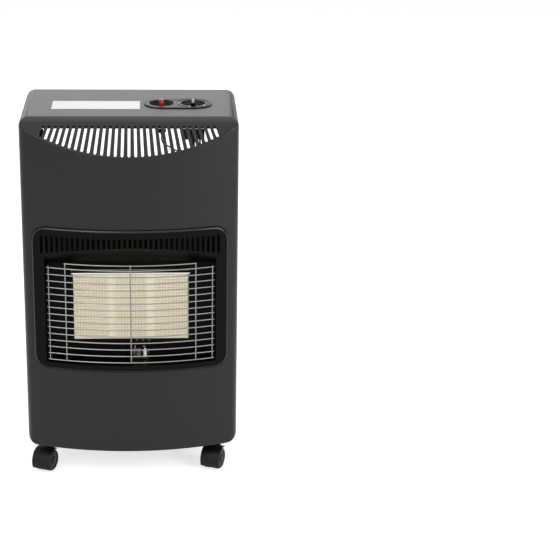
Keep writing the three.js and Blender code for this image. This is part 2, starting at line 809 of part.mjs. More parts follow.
// A barbed hose tail on the back of the valve.
function gasInlet() {
  const { radius: r, length, collarLength, barbPitch } = INLET;
  const seat = r + INLET.collar;
  const bore = r - INLET.wall;
  const profile = [[0, 0], [seat, 0], [seat, collarLength], [r, collarLength]];
  for (let z = collarLength + 2; z < length - barbPitch + 1; z += barbPitch) {
    profile.push([r, z], [r + INLET.barb, z + 1], [r, z + barbPitch - 1]);
  }
  profile.push([r - 1, length], [bore, length], [bore, INLET.collar], [0, INLET.collar]);
  const body = lathe(profile, 12);
  return placed(body, new THREE.Euler(-Math.PI / 2, 0, 0), [
    PANEL.knobX, PANEL.y + VALVE.depth / 2 + GAP, valveFoot + VALVE.height / 2,
  ]);
}

function placed(body, rotation, [x, y, z]) {
  const geometry = geometryOf(body);
  geometry.applyMatrix4(new THREE.Matrix4().makeRotationFromEuler(rotation));
  return solid(geometry.translate(x, y, z));
}

function gasPipe() {
  const { radius, bend, inset, ahead, drop, over } = ROUTES.gas;
  const x = HALF - inset;
  const y = PARTITION.y - ahead;
  return tube(
    [
      [PANEL.knobX, PANEL.y, valveFoot - VALVE.bossLength - GAP],
      [PANEL.knobX, PANEL.y, valveFoot - drop],
      [x, y, below(PARTITION.top) + over],
      [x, y, below(RAIL.z)],
      [RAIL.halfLength + GAP, RAIL.y, below(RAIL.z)],
    ],
    radius, bend,
  );
}

const shelfTop = below(BEZEL.openingBottom) + 2;

// A round route from the controls down beside the burner and along under it to the pilot.
function sideRoute({ radius, bend, inset, ahead, level }, start, end) {
  const x = HALF - inset;
  const y = PARTITION.y - ahead;
  const floor = below(RAIL.z) - RAIL.radius - ROUTES.spacing * level;
  return tube(
    [
      start,
      [start[0], start[1], start[2] - ROUTES.drop],
      [x, y, below(PARTITION.top) + ROUTES.over],
      [x, y, floor],
      [end[0], PILOT.y, floor],
      end,
    ],
    radius, bend, 6,
  );
}

const underShelf = (x) => [x, PILOT.y, shelfTop - PILOT.shelf - GAP];
const pilotPort = [PANEL.knobX + VALVE.width / 2 - VALVE.boss, PANEL.y, valveFoot - GAP];
const thermoPort = [pilotPort[0], PANEL.y - VALVE.depth / 2 + 7, pilotPort[2]];
const piezoFoot = TOP - PANEL.spigotDepth - PIEZO.length - PIEZO.terminalLength - GAP;

const pilotTube = () => sideRoute(ROUTES.pilot, pilotPort, underShelf(PILOT.burnerX));
const ignitionLead = () =>
  sideRoute(ROUTES.lead, [PANEL.bowlX, PANEL.y, piezoFoot], underShelf(PILOT.ceramicX));
const thermocoupleLead = () => sideRoute(ROUTES.thermo, thermoPort, underShelf(PILOT.probeX));

function pilotBracket() {
  const x0 = PILOT.x - PILOT.shelfWidth / 2;
  const x1 = PILOT.x + PILOT.shelfWidth / 2;
  const y0 = PILOT.y - PILOT.shelfDepth / 2;
  const y1 = SURROUND.back - GAP;
  const shelf = block(x0, x1, y0, y1, shelfTop - PILOT.shelf, shelfTop);
  const plate = block(x0, x1, y1 - PILOT.shelf, y1, shelfTop - PILOT.shelf, shelfTop + PILOT.plate);
  return shelf.add(plate);
}

function pilotBurner() {
  const z = shelfTop + GAP;
  const r = PILOT.burnerRadius;
  const h = PILOT.burnerHeight;
  const profile = [[0, 0], [r + 1, 0], [r + 1, 4], [r, 4], [r, h - 5], [r + 0.6, h - 4], [r + 0.6, h], [0, h]];
  return placed(lathe(profile, 16), new THREE.Euler(), [PILOT.burnerX, PILOT.y, z]);
}

function sparkElectrode() {
  const z = shelfTop + GAP;
  const r = PILOT.ceramicRadius;
  const h = PILOT.ceramicHeight;
  const profile = [[0, 0], [r + 0.8, 0], [r + 0.8, 3], [r, 4], [r, h - 6], [r * 0.45, h - 1], [0, h - 1]];
  const body = placed(lathe(profile, 14), new THREE.Euler(), [PILOT.ceramicX, PILOT.y, z]);
  const wire = tube(
    [
      [PILOT.ceramicX, PILOT.y, z + h - 2],
      [PILOT.ceramicX, PILOT.y, z + h + 4],
      [PILOT.burnerX + PILOT.burnerRadius + 3, PILOT.y, z + PILOT.burnerHeight + 3],
    ],
    0.8, 2, 6,
  );
  return body.add(wire);
}

function thermocouple() {
  const z = shelfTop + GAP;
  return tube(
    [
      [PILOT.probeX, PILOT.y, z],
      [PILOT.probeX, PILOT.y, z + 10],
      [PILOT.probeX + 2, PILOT.y, z + 24],
    ],
    PILOT.probeRadius, 3, 8,
  );
}

// ---------------------------------------------------------------- controls
const bowlTop = TOP + PANEL.proud;

function controlPanel() {
  const flange = upright(
    stadium(PANEL.x, PANEL.y, PANEL.width, PANEL.depth, 14), TOP + GAP, bowlTop,
  );
  const inset = PANEL.spigotInset;
  const spigot = upright(
    stadium(PANEL.x, PANEL.y, PANEL.width - 2 * inset, PANEL.depth - 2 * inset),
    TOP - PANEL.spigotDepth, TOP + 2 * GAP,
  );
  const bowl = post(
    PANEL.bowlFloorRadius, PANEL.bowlX, PANEL.y, bowlTop - PANEL.bowlDepth, bowlTop, 28, PANEL.bowlRadius,
  );
  const recess = post(
    PANEL.knobRecess, PANEL.knobX, PANEL.y, bowlTop - PANEL.knobRecessDepth, bowlTop + 1, 28,
  );
  const spindleHole = post(SPINDLE.radius + 2 * GAP, PANEL.knobX, PANEL.y, 0, TOP + 1, 16);
  const stemHole = post(BUTTON.stem + GAP, PANEL.bowlX, PANEL.y, 0, TOP, 12);
  return cut(flange.add(spigot), [bowl, recess, spindleHole, stemHole]);
}

const knobFoot = bowlTop - PANEL.knobRecessDepth + KNOB.travel + GAP;

function controlKnob() {
  const r = KNOB.radius;
  const disc = placed(
    lathe([[0, 0], [r - 0.6, 0], [r, 0.6], [r, KNOB.disc - 1], [r - 1, KNOB.disc], [0, KNOB.disc]], 32),
    new THREE.Euler(), [PANEL.knobX, PANEL.y, knobFoot],
  );
  const half = KNOB.grip / 2;
  const z0 = knobFoot + KNOB.disc;
  const grip = backward(
    [
      new THREE.Vector2(PANEL.knobX - half, z0 - 1),
      new THREE.Vector2(PANEL.knobX + half, z0 - 1),
      new THREE.Vector2(PANEL.knobX + half * KNOB.gripTaper, z0 + KNOB.gripHeight),
      new THREE.Vector2(PANEL.knobX - half * KNOB.gripTaper, z0 + KNOB.gripHeight),
    ],
    PANEL.y - KNOB.gripLength / 2, PANEL.y + KNOB.gripLength / 2,
  );
  const socket = post(SPINDLE.radius + GAP, PANEL.knobX, PANEL.y, 0, knobFoot + KNOB.disc / 2, 16);
  return disc.add(grip).subtract(socket);
}

const collarTop = TOP - PANEL.spigotDepth - SPINDLE.collarDrop + SPINDLE.collarHeight;

function valveSpindle() {
  return post(
    SPINDLE.radius, PANEL.knobX, PANEL.y, valveTop - VALVE.boreDepth + KNOB.travel + 2,
    knobFoot + KNOB.disc / 2 - GAP, 16,
  );
}

// The collar that carries the spindle's return spring; it moves up and down and doesn't turn.
function springCollar() {
  const ring = post(
    SPINDLE.collarRadius, PANEL.knobX, PANEL.y, collarTop - SPINDLE.collarHeight, collarTop, 20,
  );
  return ring.subtract(post(SPINDLE.radius + GAP, PANEL.knobX, PANEL.y, 0, TOP, 20));
}

const bowlFloor = bowlTop - PANEL.bowlDepth;

function piezoButton() {
  const r = BUTTON.radius;
  const height = TOP + BUTTON.above - bowlFloor - BUTTON.travel;
  const profile = [[0, 0], [r, 0], [r, height - 2], [r - BUTTON.edge, height - GAP], [0, height - GAP]];
  const cap = placed(
    lathe(profile, 20), new THREE.Euler(), [PANEL.bowlX, PANEL.y, bowlFloor + BUTTON.travel + GAP],
  );
  const stem = post(
    BUTTON.stem, PANEL.bowlX, PANEL.y, TOP - PANEL.spigotDepth - 2, bowlFloor + BUTTON.travel + 1, 12,
  );
  return cap.add(stem);
}

function piezoBody() {
  const z1 = TOP - PANEL.spigotDepth - GAP;
  const z0 = z1 - PIEZO.length;
  const barrel = post(PIEZO.radius, PANEL.bowlX, PANEL.y, z0, z1, 20);
  const nut = post(PIEZO.nut, PANEL.bowlX, PANEL.y, z1 - PIEZO.nutHeight, z1, 6);
  const terminal = post(PIEZO.terminal, PANEL.bowlX, PANEL.y, z0 - PIEZO.terminalLength, z0 + 1, 10);
  const boreFoot = z1 - BUTTON.travel - PIEZO.nutHeight - 1;
  const bore = post(BUTTON.stem + GAP, PANEL.bowlX, PANEL.y, boreFoot, TOP, 12);
  return cut(joined([barrel, nut, terminal]), [bore]);
}

// ---------------------------------------------------------------- base and rear cover
function panOutline(inset) {
  const half = PAN_HALF - inset;
  const front = bowArc(-CABINET.sheet - PAN.clearance - inset).filter((p) => Math.abs(p.x) < half - 1);
  const corner = PAN.rearCorner - inset;
  const frontAt = (x) => bowY(x, -CABINET.sheet - PAN.clearance - inset);
  const rear = PAN.depth - inset;
  return [
    new THREE.Vector2(-half, frontAt(half)),
    ...front,
    new THREE.Vector2(half, frontAt(half)),
    ...arc(half - corner, rear - corner, corner, 0, Math.PI / 2, 8),
    ...arc(corner - half, rear - corner, corner, Math.PI / 2, Math.PI, 8),
  ];
}

const hookRoom = PAN.depth + COVER.seatGap + COVER.sheet + COVER.tiltRoom;

// The floor tray that carries the bottle, its rim turned up all round, with two hooks at the back.
function basePan() {
  const z0 = CABINET.bottom;
  const tray = upright(panOutline(0), z0, z0 + PAN.rim);
  const room = upright(panOutline(PAN.sheet), z0 + PAN.sheet, TOP);
  const hooks = [-1, 1].map((side) => {
    const x0 = side * PAN.hookX - PAN.hookWidth / 2;
    const x1 = x0 + PAN.hookWidth;
    const y0 = PAN.depth - PAN.sheet;
    const y1 = hookRoom;
    const foot = block(x0, x1, y0, y1 + PAN.sheet, z0, z0 + PAN.sheet);
    const lip = block(x0, x1, y1, y1 + PAN.sheet, z0, z0 + PAN.hookLip);
    return foot.add(lip);
  });
  return joined([tray.subtract(room), ...hooks]);
}

function coverOutline(inset, front) {
  const half = COVER_HALF - inset;
  const corner = PAN.rearCorner + COVER.seatGap + COVER.sheet - inset;
  const rear = PAN.depth + COVER.seatGap + COVER.sheet - inset;
  return [
    new THREE.Vector2(-half, front),
    new THREE.Vector2(half, front),
    ...arc(half - corner, rear - corner, corner, 0, Math.PI / 2, 8),
    ...arc(corner - half, rear - corner, corner, Math.PI / 2, Math.PI, 8),
  ];
}

// A rounded slot through the cover's back.
const coverSlot = (z, width, height, steps) =>
  backward(stadium(0, z, width, height, steps), PAN.depth - COVER.lip, PAN.depth + COVER.lip);

const louvreCuts = (z) =>
  Array.from({ length: COVER.louvres }, (_, k) =>
    coverSlot(z + k * COVER.louvrePitch, COVER.louvreWidth, COVER.louvreHeight, 4),
  );

// A U-shaped hood behind the bottle, flanged to meet the cabinet's rear flanges.
function rearCover() {
  const t = COVER.sheet;
  const z0 = CABINET.bottom + PAN.sheet + GAP;
  const front = CABINET.depth + GAP;
  const skin = upright(coverOutline(0, front), z0, COVER.top).subtract(
    upright(coverOutline(t, front - 1), z0 - 1, COVER.top + 1),
  );
  const flanges = [-1, 1].map((side) => {
    const x0 = side > 0 ? COVER_HALF - t : -COVER_HALF - COVER.flange;
    return block(x0, x0 + COVER.flange + t, front, front + t, CABINET.bottom + PAN.rim, COVER.top);
  });
  const lipFront = PAN.depth - COVER.lipRun;
  const topLip = upright(coverOutline(0, lipFront), COVER.top - t, COVER.top).subtract(
    upright(coverOutline(COVER.lip, lipFront - COVER.lip), 0, TOP),
  );
  const hand = coverSlot(COVER.top - COVER.handDrop, COVER.handWidth, COVER.handHeight, 6);
  return cut(joined([skin, ...flanges, topLip]), [
    ...louvreCuts(COVER.louvreZ), ...louvreCuts(COVER.upperLouvreZ), hand,
  ]);
}

// ---------------------------------------------------------------- castors
function castorSocket() {
  const z1 = CABINET.bottom - GAP;
  const flange = post(CASTOR.flangeRadius, 0, 0, z1 - CASTOR.flange, z1, 20);
  const stem = post(CASTOR.stemRadius, 0, 0, CASTOR.hoodTop - CASTOR.stemReach, z1 - 1, 14);
  return flange.add(stem);
}

// A profile of radius and distance, turned about the axle and set off sideways.
function onAxle(profile, steps, side = 1, shift = 0) {
  const turn = new THREE.Euler(0, (side * Math.PI) / 2, 0);
  return placed(lathe(profile, steps), turn, [side * shift, CASTOR.trail, CASTOR.wheelRadius]);
}

// The hood over a pair of wheels: a barrel-shaped cover, a web between the wheels and a boss for
// the stem, bored for stem and axle.
function castorHood() {
  const inner = CASTOR.wheelRadius + CASTOR.hoodGap;
  const outer = inner + CASTOR.hoodWall;
  const half = CASTOR.wheelGap / 2 + CASTOR.wheelWidth + CASTOR.sideGap;
  const web = CASTOR.wheelGap / 2 - CASTOR.sideGap;
  const from = THREE.MathUtils.degToRad(CASTOR.hoodFrom);
  const to = THREE.MathUtils.degToRad(CASTOR.hoodTo);
  const axis = new THREE.Vector2(CASTOR.trail, CASTOR.wheelRadius);
  const sector = (radius, x) =>
    across([axis, ...arc(axis.x, axis.y, radius, from, to, 14)], -x, x);
  const edge = outer - CASTOR.hoodWall / 2;
  const cover = onAxle(
    [[inner, -half], [edge, -half], [outer, -half / 2], [outer, half / 2], [edge, half], [inner, half],
      [inner, -half]],
    26,
  ).intersect(sector(2 * outer, 2 * half));
  const hub = onAxle([[0, -web], [CASTOR.hubRadius, -web], [CASTOR.hubRadius, web], [0, web]], 16);
  const boss = post(CASTOR.barrelRadius, 0, 0, CASTOR.wheelRadius + CASTOR.bossRise, CASTOR.hoodTop, 18);
  const floor = CASTOR.hoodTop - CASTOR.stemReach - GAP;
  const stemBore = post(CASTOR.stemRadius + GAP, 0, 0, floor, TOP, 14);
  const bore = CASTOR.axle + GAP;
  const axleBore = onAxle([[0, -half], [bore, -half], [bore, half], [0, half]], 12);
  const room = CASTOR.wheelRadius + CASTOR.hoodGap * 0.75;
  const wheelRooms = [-1, 1].map((side) =>
    onAxle([[0, 0], [room, 0], [room, 2 * half], [0, 2 * half]], 26, side, web + GAP),
  );
  return cut(joined([sector(inner + 1, web), hub, boss, cover]), [axleBore, stemBore, ...wheelRooms]);
}

function castorAxle() {
  const reach = CASTOR.wheelGap / 2 + CASTOR.wheelWidth - 2;
  return onAxle([[0, -reach], [CASTOR.axle, -reach], [CASTOR.axle, reach], [0, reach]], 12);
}

function castorWheel(side) {
  const r = CASTOR.wheelRadius;
  const w = CASTOR.wheelWidth;
  const bore = CASTOR.axle + GAP;
  const cap = w - CASTOR.hubCap;
  const profile = [
    [bore, 0], [r - 1.5, 0], [r, 1.5], [r, w - 6], [r - 5, w - 0.5], [r - 8, w - 2],
    [CASTOR.hubRadius, w - 2], [CASTOR.hubRadius, w], [0, w], [0, cap], [bore, cap], [bore, 0],
  ];
  return onAxle(profile, 18, side, CASTOR.wheelGap / 2);
}

// ---------------------------------------------------------------- the object
const heater = new THREE.Group();
heater.position.y = (FRONT_REACH - (hookRoom + PAN.sheet)) / 2;

function addPiece(name, body, finish, parent = heater) {
  const mesh = new THREE.Mesh(geometryOf(body), new THREE.MeshStandardMaterial(COLOURS[finish]));
  mesh.name = name;
  parent.add(mesh);
}

addPiece('cabinet_shell', cabinetShell(), 'charcoal');
addPiece('base_pan', basePan(), 'charcoal');
addPiece('rear_cover', rearCover(), 'charcoal');
addPiece('heat_deflector', heatDeflector(), 'steel');
addPiece('bottle_partition', bottlePartition(), 'steel');
addPiece('burner_frame', burnerFrame(), 'black');
addPiece('guard_grille', guardGrille(), 'chrome');
addPiece('burner_surround', burnerSurround(), 'enamel');
addPiece('burner_box', burnerBox(), 'steel');
addPiece('burner_rim', burnerRim(), 'steel');
['left', 'centre', 'right'].forEach((side, k) => {
  addPiece(`ceramic_plaque_${side}`, plaque(k), 'ceramic');
});
addPiece('injector_rail', injectorRail(), 'brass');
addPiece('gas_valve', gasValve(), 'steel');
addPiece('gas_inlet_tail', gasInlet(), 'brass');
addPiece('gas_pipe', gasPipe(), 'copper');
addPiece('pilot_tube', pilotTube(), 'copper');
addPiece('ignition_lead', ignitionLead(), 'white');
addPiece('thermocouple_lead', thermocoupleLead(), 'copper');
addPiece('pilot_bracket', pilotBracket(), 'steel');
addPiece('pilot_burner', pilotBurner(), 'steel');
addPiece('spark_electrode', sparkElectrode(), 'white');
addPiece('thermocouple', thermocouple(), 'steel');
addPiece('control_panel', controlPanel(), 'black');
addPiece('spring_collar', springCollar(), 'brass');
addPiece('valve_spindle', valveSpindle(), 'steel');
addPiece('control_knob', controlKnob(), 'black');
addPiece('piezo_body', piezoBody(), 'white');
addPiece('piezo_button', piezoButton(), 'red');

const frontX = HALF - CASTOR.frontInset;
const rearX = HALF - CASTOR.rearInset;
const rearY = PAN.depth - CASTOR.rearSetback;
const castors = {
  front_left: [-frontX, CASTOR.frontSetback, CASTOR.frontTurn],
  front_right: [frontX, CASTOR.frontSetback, CASTOR.frontTurn],
  rear_left: [-rearX, rearY, CASTOR.rearTurn],
  rear_right: [rearX, rearY, CASTOR.rearTurn],
};
for (const [place, [x, y, turn]] of Object.entries(castors)) {
  const corner = new THREE.Group();
  corner.position.set(x, y, 0);
  corner.rotation.z = THREE.MathUtils.degToRad(turn);
  heater.add(corner);
  addPiece(`castor_socket_${place}`, castorSocket(), 'steel', corner);
  addPiece(`castor_hood_${place}`, castorHood(), 'rubber', corner);
  addPiece(`castor_axle_${place}`, castorAxle(), 'steel', corner);
  addPiece(`castor_wheel_a_${place}`, castorWheel(-1), 'rubber', corner);
  addPiece(`castor_wheel_b_${place}`, castorWheel(1), 'rubber', corner);
}

export default heater;
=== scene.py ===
"""Dresses a portable gas cabinet heater: its casing, guard, burner, controls and castors."""
import json
import logging
import math
from dataclasses import dataclass
from enum import Enum

import bmesh
import bpy
from mathutils import Matrix, Vector


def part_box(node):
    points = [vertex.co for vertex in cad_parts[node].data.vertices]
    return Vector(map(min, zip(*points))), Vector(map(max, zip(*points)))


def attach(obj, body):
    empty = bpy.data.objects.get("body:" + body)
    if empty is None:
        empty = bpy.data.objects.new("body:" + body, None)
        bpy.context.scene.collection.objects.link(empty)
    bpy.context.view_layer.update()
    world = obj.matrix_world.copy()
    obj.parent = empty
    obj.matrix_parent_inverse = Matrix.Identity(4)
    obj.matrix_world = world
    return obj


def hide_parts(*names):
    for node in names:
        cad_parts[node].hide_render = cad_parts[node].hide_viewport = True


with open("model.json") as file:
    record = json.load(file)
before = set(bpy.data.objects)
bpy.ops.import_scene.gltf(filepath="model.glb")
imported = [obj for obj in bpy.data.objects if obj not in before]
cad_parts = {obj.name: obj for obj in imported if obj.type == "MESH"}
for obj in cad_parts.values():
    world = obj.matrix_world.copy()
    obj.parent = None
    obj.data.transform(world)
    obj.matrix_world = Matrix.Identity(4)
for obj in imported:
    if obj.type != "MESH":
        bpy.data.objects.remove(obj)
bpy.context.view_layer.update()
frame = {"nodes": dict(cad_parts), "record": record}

LOG = logging.getLogger("heater")
MM = 0.001  # a size times MM is a length in metres; one without it belongs to a Profile
QUARTER = math.pi / 2
ACROSS = Vector((1, 0, 0))
BACK = Vector((0, 1, 0))
UP = Vector((0, 0, 1))
CASTOR_PLACES = ("front_left", "front_right", "rear_left", "rear_right")
COAT_ROUGHNESS = 0.08
ROUGHNESS_SWING = 0.12  # how far the grain carries the roughness to either side
BUMP_DEPTH = 0.25  # as a share of the grain's size
PATCH_OCTAVES = 3.0
GRAIN_OCTAVES = 2.0
BRUSHED = (1, 1, 0.25)  # draws the grain of metal out upwards
BUILT: dict[str, bpy.types.Material] = {}
Mesh = bmesh.types.BMesh
Profile = list[tuple[float, float]]  # pairs of radius and height in millimetres


# ---------------------------------- finishes
class Surface(Enum):
    """What a finish is, which decides how its fine relief is made."""

    PAINT = "paint"
    GLOSS = "gloss"
    METAL = "metal"
    CERAMIC = "ceramic"
    MOULDED = "moulded"
    PRINT = "print"


@dataclass(frozen=True)
class Finish:
    """One finish of the heater, built as a node material on Object coordinates."""

    name: str
    kind: Surface
    colour: tuple[float, float, float]
    roughness: float = 0.4
    metallic: float = 0.0
    coat: float = 0.0
    specular: float = 0.5
    shade: float = 0.85
    patch: float = 0.03
    grain: float = 0.0009
    relief: float = 0.06

    def material(self) -> bpy.types.Material:
        """Builds the material, or finds it when it has been built already.

        Returns:
            The node material.
        """
        if self.name in BUILT:
            return BUILT[self.name]
        made = bpy.data.materials.new(self.name)
        BUILT[self.name] = made
        made.use_nodes = True
        tree = made.node_tree
        nodes, links = tree.nodes, tree.links
        shader = nodes["Principled BSDF"]
        shader.inputs["Metallic"].default_value = self.metallic
        shader.inputs["Coat Weight"].default_value = self.coat
        shader.inputs["Coat Roughness"].default_value = COAT_ROUGHNESS
        shader.inputs["Specular IOR Level"].default_value = self.specular
        place = nodes.new("ShaderNodeTexCoord")
        patches = self._noise(tree, place, self.patch, PATCH_OCTAVES)
        tone = nodes.new("ShaderNodeMix")
        tone.data_type = "RGBA"
        darker = tuple(channel * self.shade for channel in self.colour)
        tone.inputs["A"].default_value = (*darker, 1)
        tone.inputs["B"].default_value = (*self.colour, 1)
        links.new(patches.outputs["Fac"], tone.inputs["Factor"])
        links.new(tone.outputs["Result"], shader.inputs["Base Color"])
        rough = nodes.new("ShaderNodeMapRange")
        rough.inputs["To Min"].default_value = self.roughness * (1 - ROUGHNESS_SWING)
        rough.inputs["To Max"].default_value = min(self.roughness * (1 + ROUGHNESS_SWING), 1)
        grain = self._noise(tree, place, self.grain, GRAIN_OCTAVES)
        links.new(grain.outputs["Fac"], rough.inputs["Value"])
        links.new(rough.outputs["Result"], shader.inputs["Roughness"])
        bump = nodes.new("ShaderNodeBump")
        bump.inputs["Strength"].default_value = self.relief
        bump.inputs["Distance"].default_value = self.grain * BUMP_DEPTH
        links.new(grain.outputs["Fac"], bump.inputs["Height"])
        links.new(bump.outputs["Normal"], shader.inputs["Normal"])
        return made

    def _noise(
        self, tree: bpy.types.NodeTree, place: bpy.types.Node, size: float, octaves: float
    ) -> bpy.types.Node:
        """Adds a noise texture on Object coordinates.

        Args:
            tree: The material's node tree.
            place: The texture coordinate node.
            size: The size of a feature.
            octaves: Its number of octaves.

        Returns:
            The noise node.
        """
        noise = tree.nodes.new("ShaderNodeTexNoise")
        noise.inputs["Scale"].default_value = 1 / size
        noise.inputs["Detail"].default_value = octaves
        spot = place.outputs["Object"]
        if self.kind is Surface.METAL:
            stretch = tree.nodes.new("ShaderNodeMapping")
            stretch.inputs["Scale"].default_value = BRUSHED
            tree.links.new(spot, stretch.inputs["Vector"])
            spot = stretch.outputs["Vector"]
        tree.links.new(spot, noise.inputs["Vector"])
        return noise


@dataclass(frozen=True)
class Palette:
    """Every finish that the heater wears."""

    charcoal: Finish = Finish(
        "charcoal_satin", Surface.PAINT, (0.0076, 0.0083, 0.0087), 0.4, specular=0.28
    )
    gloss_black: Finish = Finish(
        "gloss_black", Surface.GLOSS, (0.0019, 0.0019, 0.0016), 0.36, specular=0.07,
        grain=0.002, relief=0.03,
    )
    # A lighter, glossier copy of the gloss black, worn only by the front- and up-facing rounded
    # faces of the frame's rim: a painted highlight.
    painted_highlight_rim: Finish = Finish(
        "painted_highlight_rim", Surface.GLOSS, (0.003, 0.003, 0.0026), 0.2, coat=0.35, specular=0.3,
        grain=0.002, relief=0.03,
    )
    enamel: Finish = Finish(
        "burner_enamel", Surface.PAINT, (0.0018, 0.0018, 0.0016), 0.55, specular=0.08
    )
    chrome: Finish = Finish("guard_chrome", Surface.METAL, (0.31, 0.305, 0.29), 0.38, 1.0)
    zinc: Finish = Finish("zinc_sheet", Surface.METAL, (0.45, 0.46, 0.47), 0.42, 0.9, patch=0.012)
    steel: Finish = Finish("plain_steel", Surface.METAL, (0.4, 0.39, 0.37), 0.38, 1.0)
    bright: Finish = Finish("bright_strip", Surface.METAL, (0.88, 0.87, 0.85), 0.34, 1.0)
    # A dark steel. On the bottle partition, seen through the vents, it is painted shade that stands
    # for the dark inside of the cabinet; the pilot bracket and the rim lugs wear it as darker
    # steel.
    dark_steel_and_shade: Finish = Finish(
        "painted_shade_dark_steel", Surface.METAL, (0.06, 0.06, 0.055), 0.5, 0.9, patch=0.008
    )
    ceramic: Finish = Finish(
        "plaque_ceramic", Surface.CERAMIC, (0.95, 0.87, 0.69), 0.9, shade=0.94, specular=0.2,
        grain=0.0006,
    )
    fibre: Finish = Finish(
        "joint_fibre", Surface.CERAMIC, (0.95, 0.92, 0.84), 0.95, specular=0.1,
        grain=0.0005, relief=0.2,
    )
    # A darker, deeper copy of the ceramic's colour on the grooves: painted shade.
    groove: Finish = Finish(
        "plaque_groove_shade", Surface.CERAMIC, (0.74, 0.62, 0.43), 0.95, specular=0.1, grain=0.0006
    )
    brass: Finish = Finish("brass", Surface.METAL, (0.62, 0.44, 0.17), 0.3, 1.0)
    copper: Finish = Finish("copper_pipe", Surface.METAL, (0.2, 0.1, 0.06), 0.45, 1.0)
    cast: Finish = Finish("die_cast", Surface.METAL, (0.2, 0.2, 0.2), 0.5, 0.85)
    porcelain: Finish = Finish(
        "white_insulator", Surface.MOULDED, (0.97, 0.97, 0.94), 0.2, coat=1.0, shade=0.98,
        grain=0.002, relief=0.02,
    )
    lead_red: Finish = Finish(
        "lead_red", Surface.MOULDED, (0.16, 0.012, 0.014), 0.4, grain=0.002, relief=0.02
    )
    red: Finish = Finish(
        "button_red", Surface.MOULDED, (0.4, 0.007, 0.01), 0.25, grain=0.002, relief=0.02
    )
    rubber: Finish = Finish(
        "castor_black", Surface.MOULDED, (0.004, 0.004, 0.0038), 0.5, specular=0.2
    )
    bowl: Finish = Finish(
        "bowl_charcoal", Surface.GLOSS, (0.012, 0.014, 0.018), 0.2, specular=0.45,
        grain=0.002, relief=0.02,
    )
    panel: Finish = Finish(
        "panel_charcoal", Surface.GLOSS, (0.004, 0.004, 0.0038), 0.34, specular=0.08,
        grain=0.0012, relief=0.04,
    )
    knob_black: Finish = Finish(
        "knob_black", Surface.MOULDED, (0.0012, 0.0012, 0.001), 0.55, specular=0.015,
        grain=0.002, relief=0.02,
    )
    knob_grey: Finish = Finish(
        "grip_grey", Surface.MOULDED, (0.1, 0.1, 0.098), 0.4, grain=0.002, relief=0.02
    )
    plate: Finish = Finish(
        "blank_plate", Surface.PRINT, (0.75, 0.75, 0.74), 0.6, shade=0.98, grain=0.003, relief=0.015
    )
    mark: Finish = Finish(
        "dial_mark", Surface.PRINT, (0.75, 0.75, 0.74), 0.4, grain=0.002, relief=0.01
    )


FINISH = Palette()

WORN: dict[Finish, tuple[str, ...]] = {
    FINISH.charcoal: ("cabinet_shell", "base_pan", "rear_cover"),
    FINISH.zinc: ("heat_deflector", "castor_socket", "castor_axle"),
    # The bottle partition is darkened as painted shade, so that the vents look black inside.
    FINISH.dark_steel_and_shade: ("bottle_partition", "pilot_bracket"),
    FINISH.gloss_black: ("burner_frame",),
    FINISH.chrome: ("guard_grille",),
    FINISH.enamel: ("burner_surround", "burner_rim"),
    FINISH.steel: ("burner_box", "thermocouple", "valve_spindle"),
    FINISH.ceramic: ("ceramic_plaque",),
    FINISH.brass: ("injector_rail", "gas_inlet_tail", "spring_collar"),
    FINISH.cast: ("gas_valve", "pilot_burner"),
    FINISH.copper: ("gas_pipe", "pilot_tube", "thermocouple_lead"),
    FINISH.lead_red: ("ignition_lead",),
    FINISH.porcelain: ("spark_electrode",),
    FINISH.panel: ("control_panel",),
    FINISH.knob_black: ("control_knob",),
    FINISH.rubber: ("piezo_body", "castor_hood", "castor_wheel"),
    FINISH.red: ("piezo_button",),
}
NODE_FINISH = {node: finish for finish, nodes in WORN.items() for node in nodes}


# ---------------------------------- shared making
def corners(node: str) -> tuple[Vector, Vector]:
    """Finds the lowest and the highest corner of a node's box."""
    low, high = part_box(node)
    return Vector(low), Vector(high)


def over(node: str, height: float) -> Vector:
    """Finds the point at a height over the middle of a node."""
    low, high = corners(node)
    return Vector(((low.x + high.x) / 2, (low.y + high.y) / 2, height))


@dataclass
class Layout:
    """The heater's main lines, read from the frame."""

    bow: float = 34 * MM
    half_chord: float = 190 * MM

    @property
    def front_line(self) -> float:
        """The y of the straight line behind the bowed front."""
        return corners("cabinet_shell")[0].y + self.bow

    @property
    def top(self) -> float:
        """The height of the top plate."""
        return corners("cabinet_shell")[1].z

    @property
    def bow_radius(self) -> float:
        """The radius of the bowed front."""
        return (self.half_chord**2 + self.bow**2) / (2 * self.bow)

    @property
    def bow_axis(self) -> float:
        """The y of the bow's axis."""
        return self.front_line + self.bow_radius - self.bow


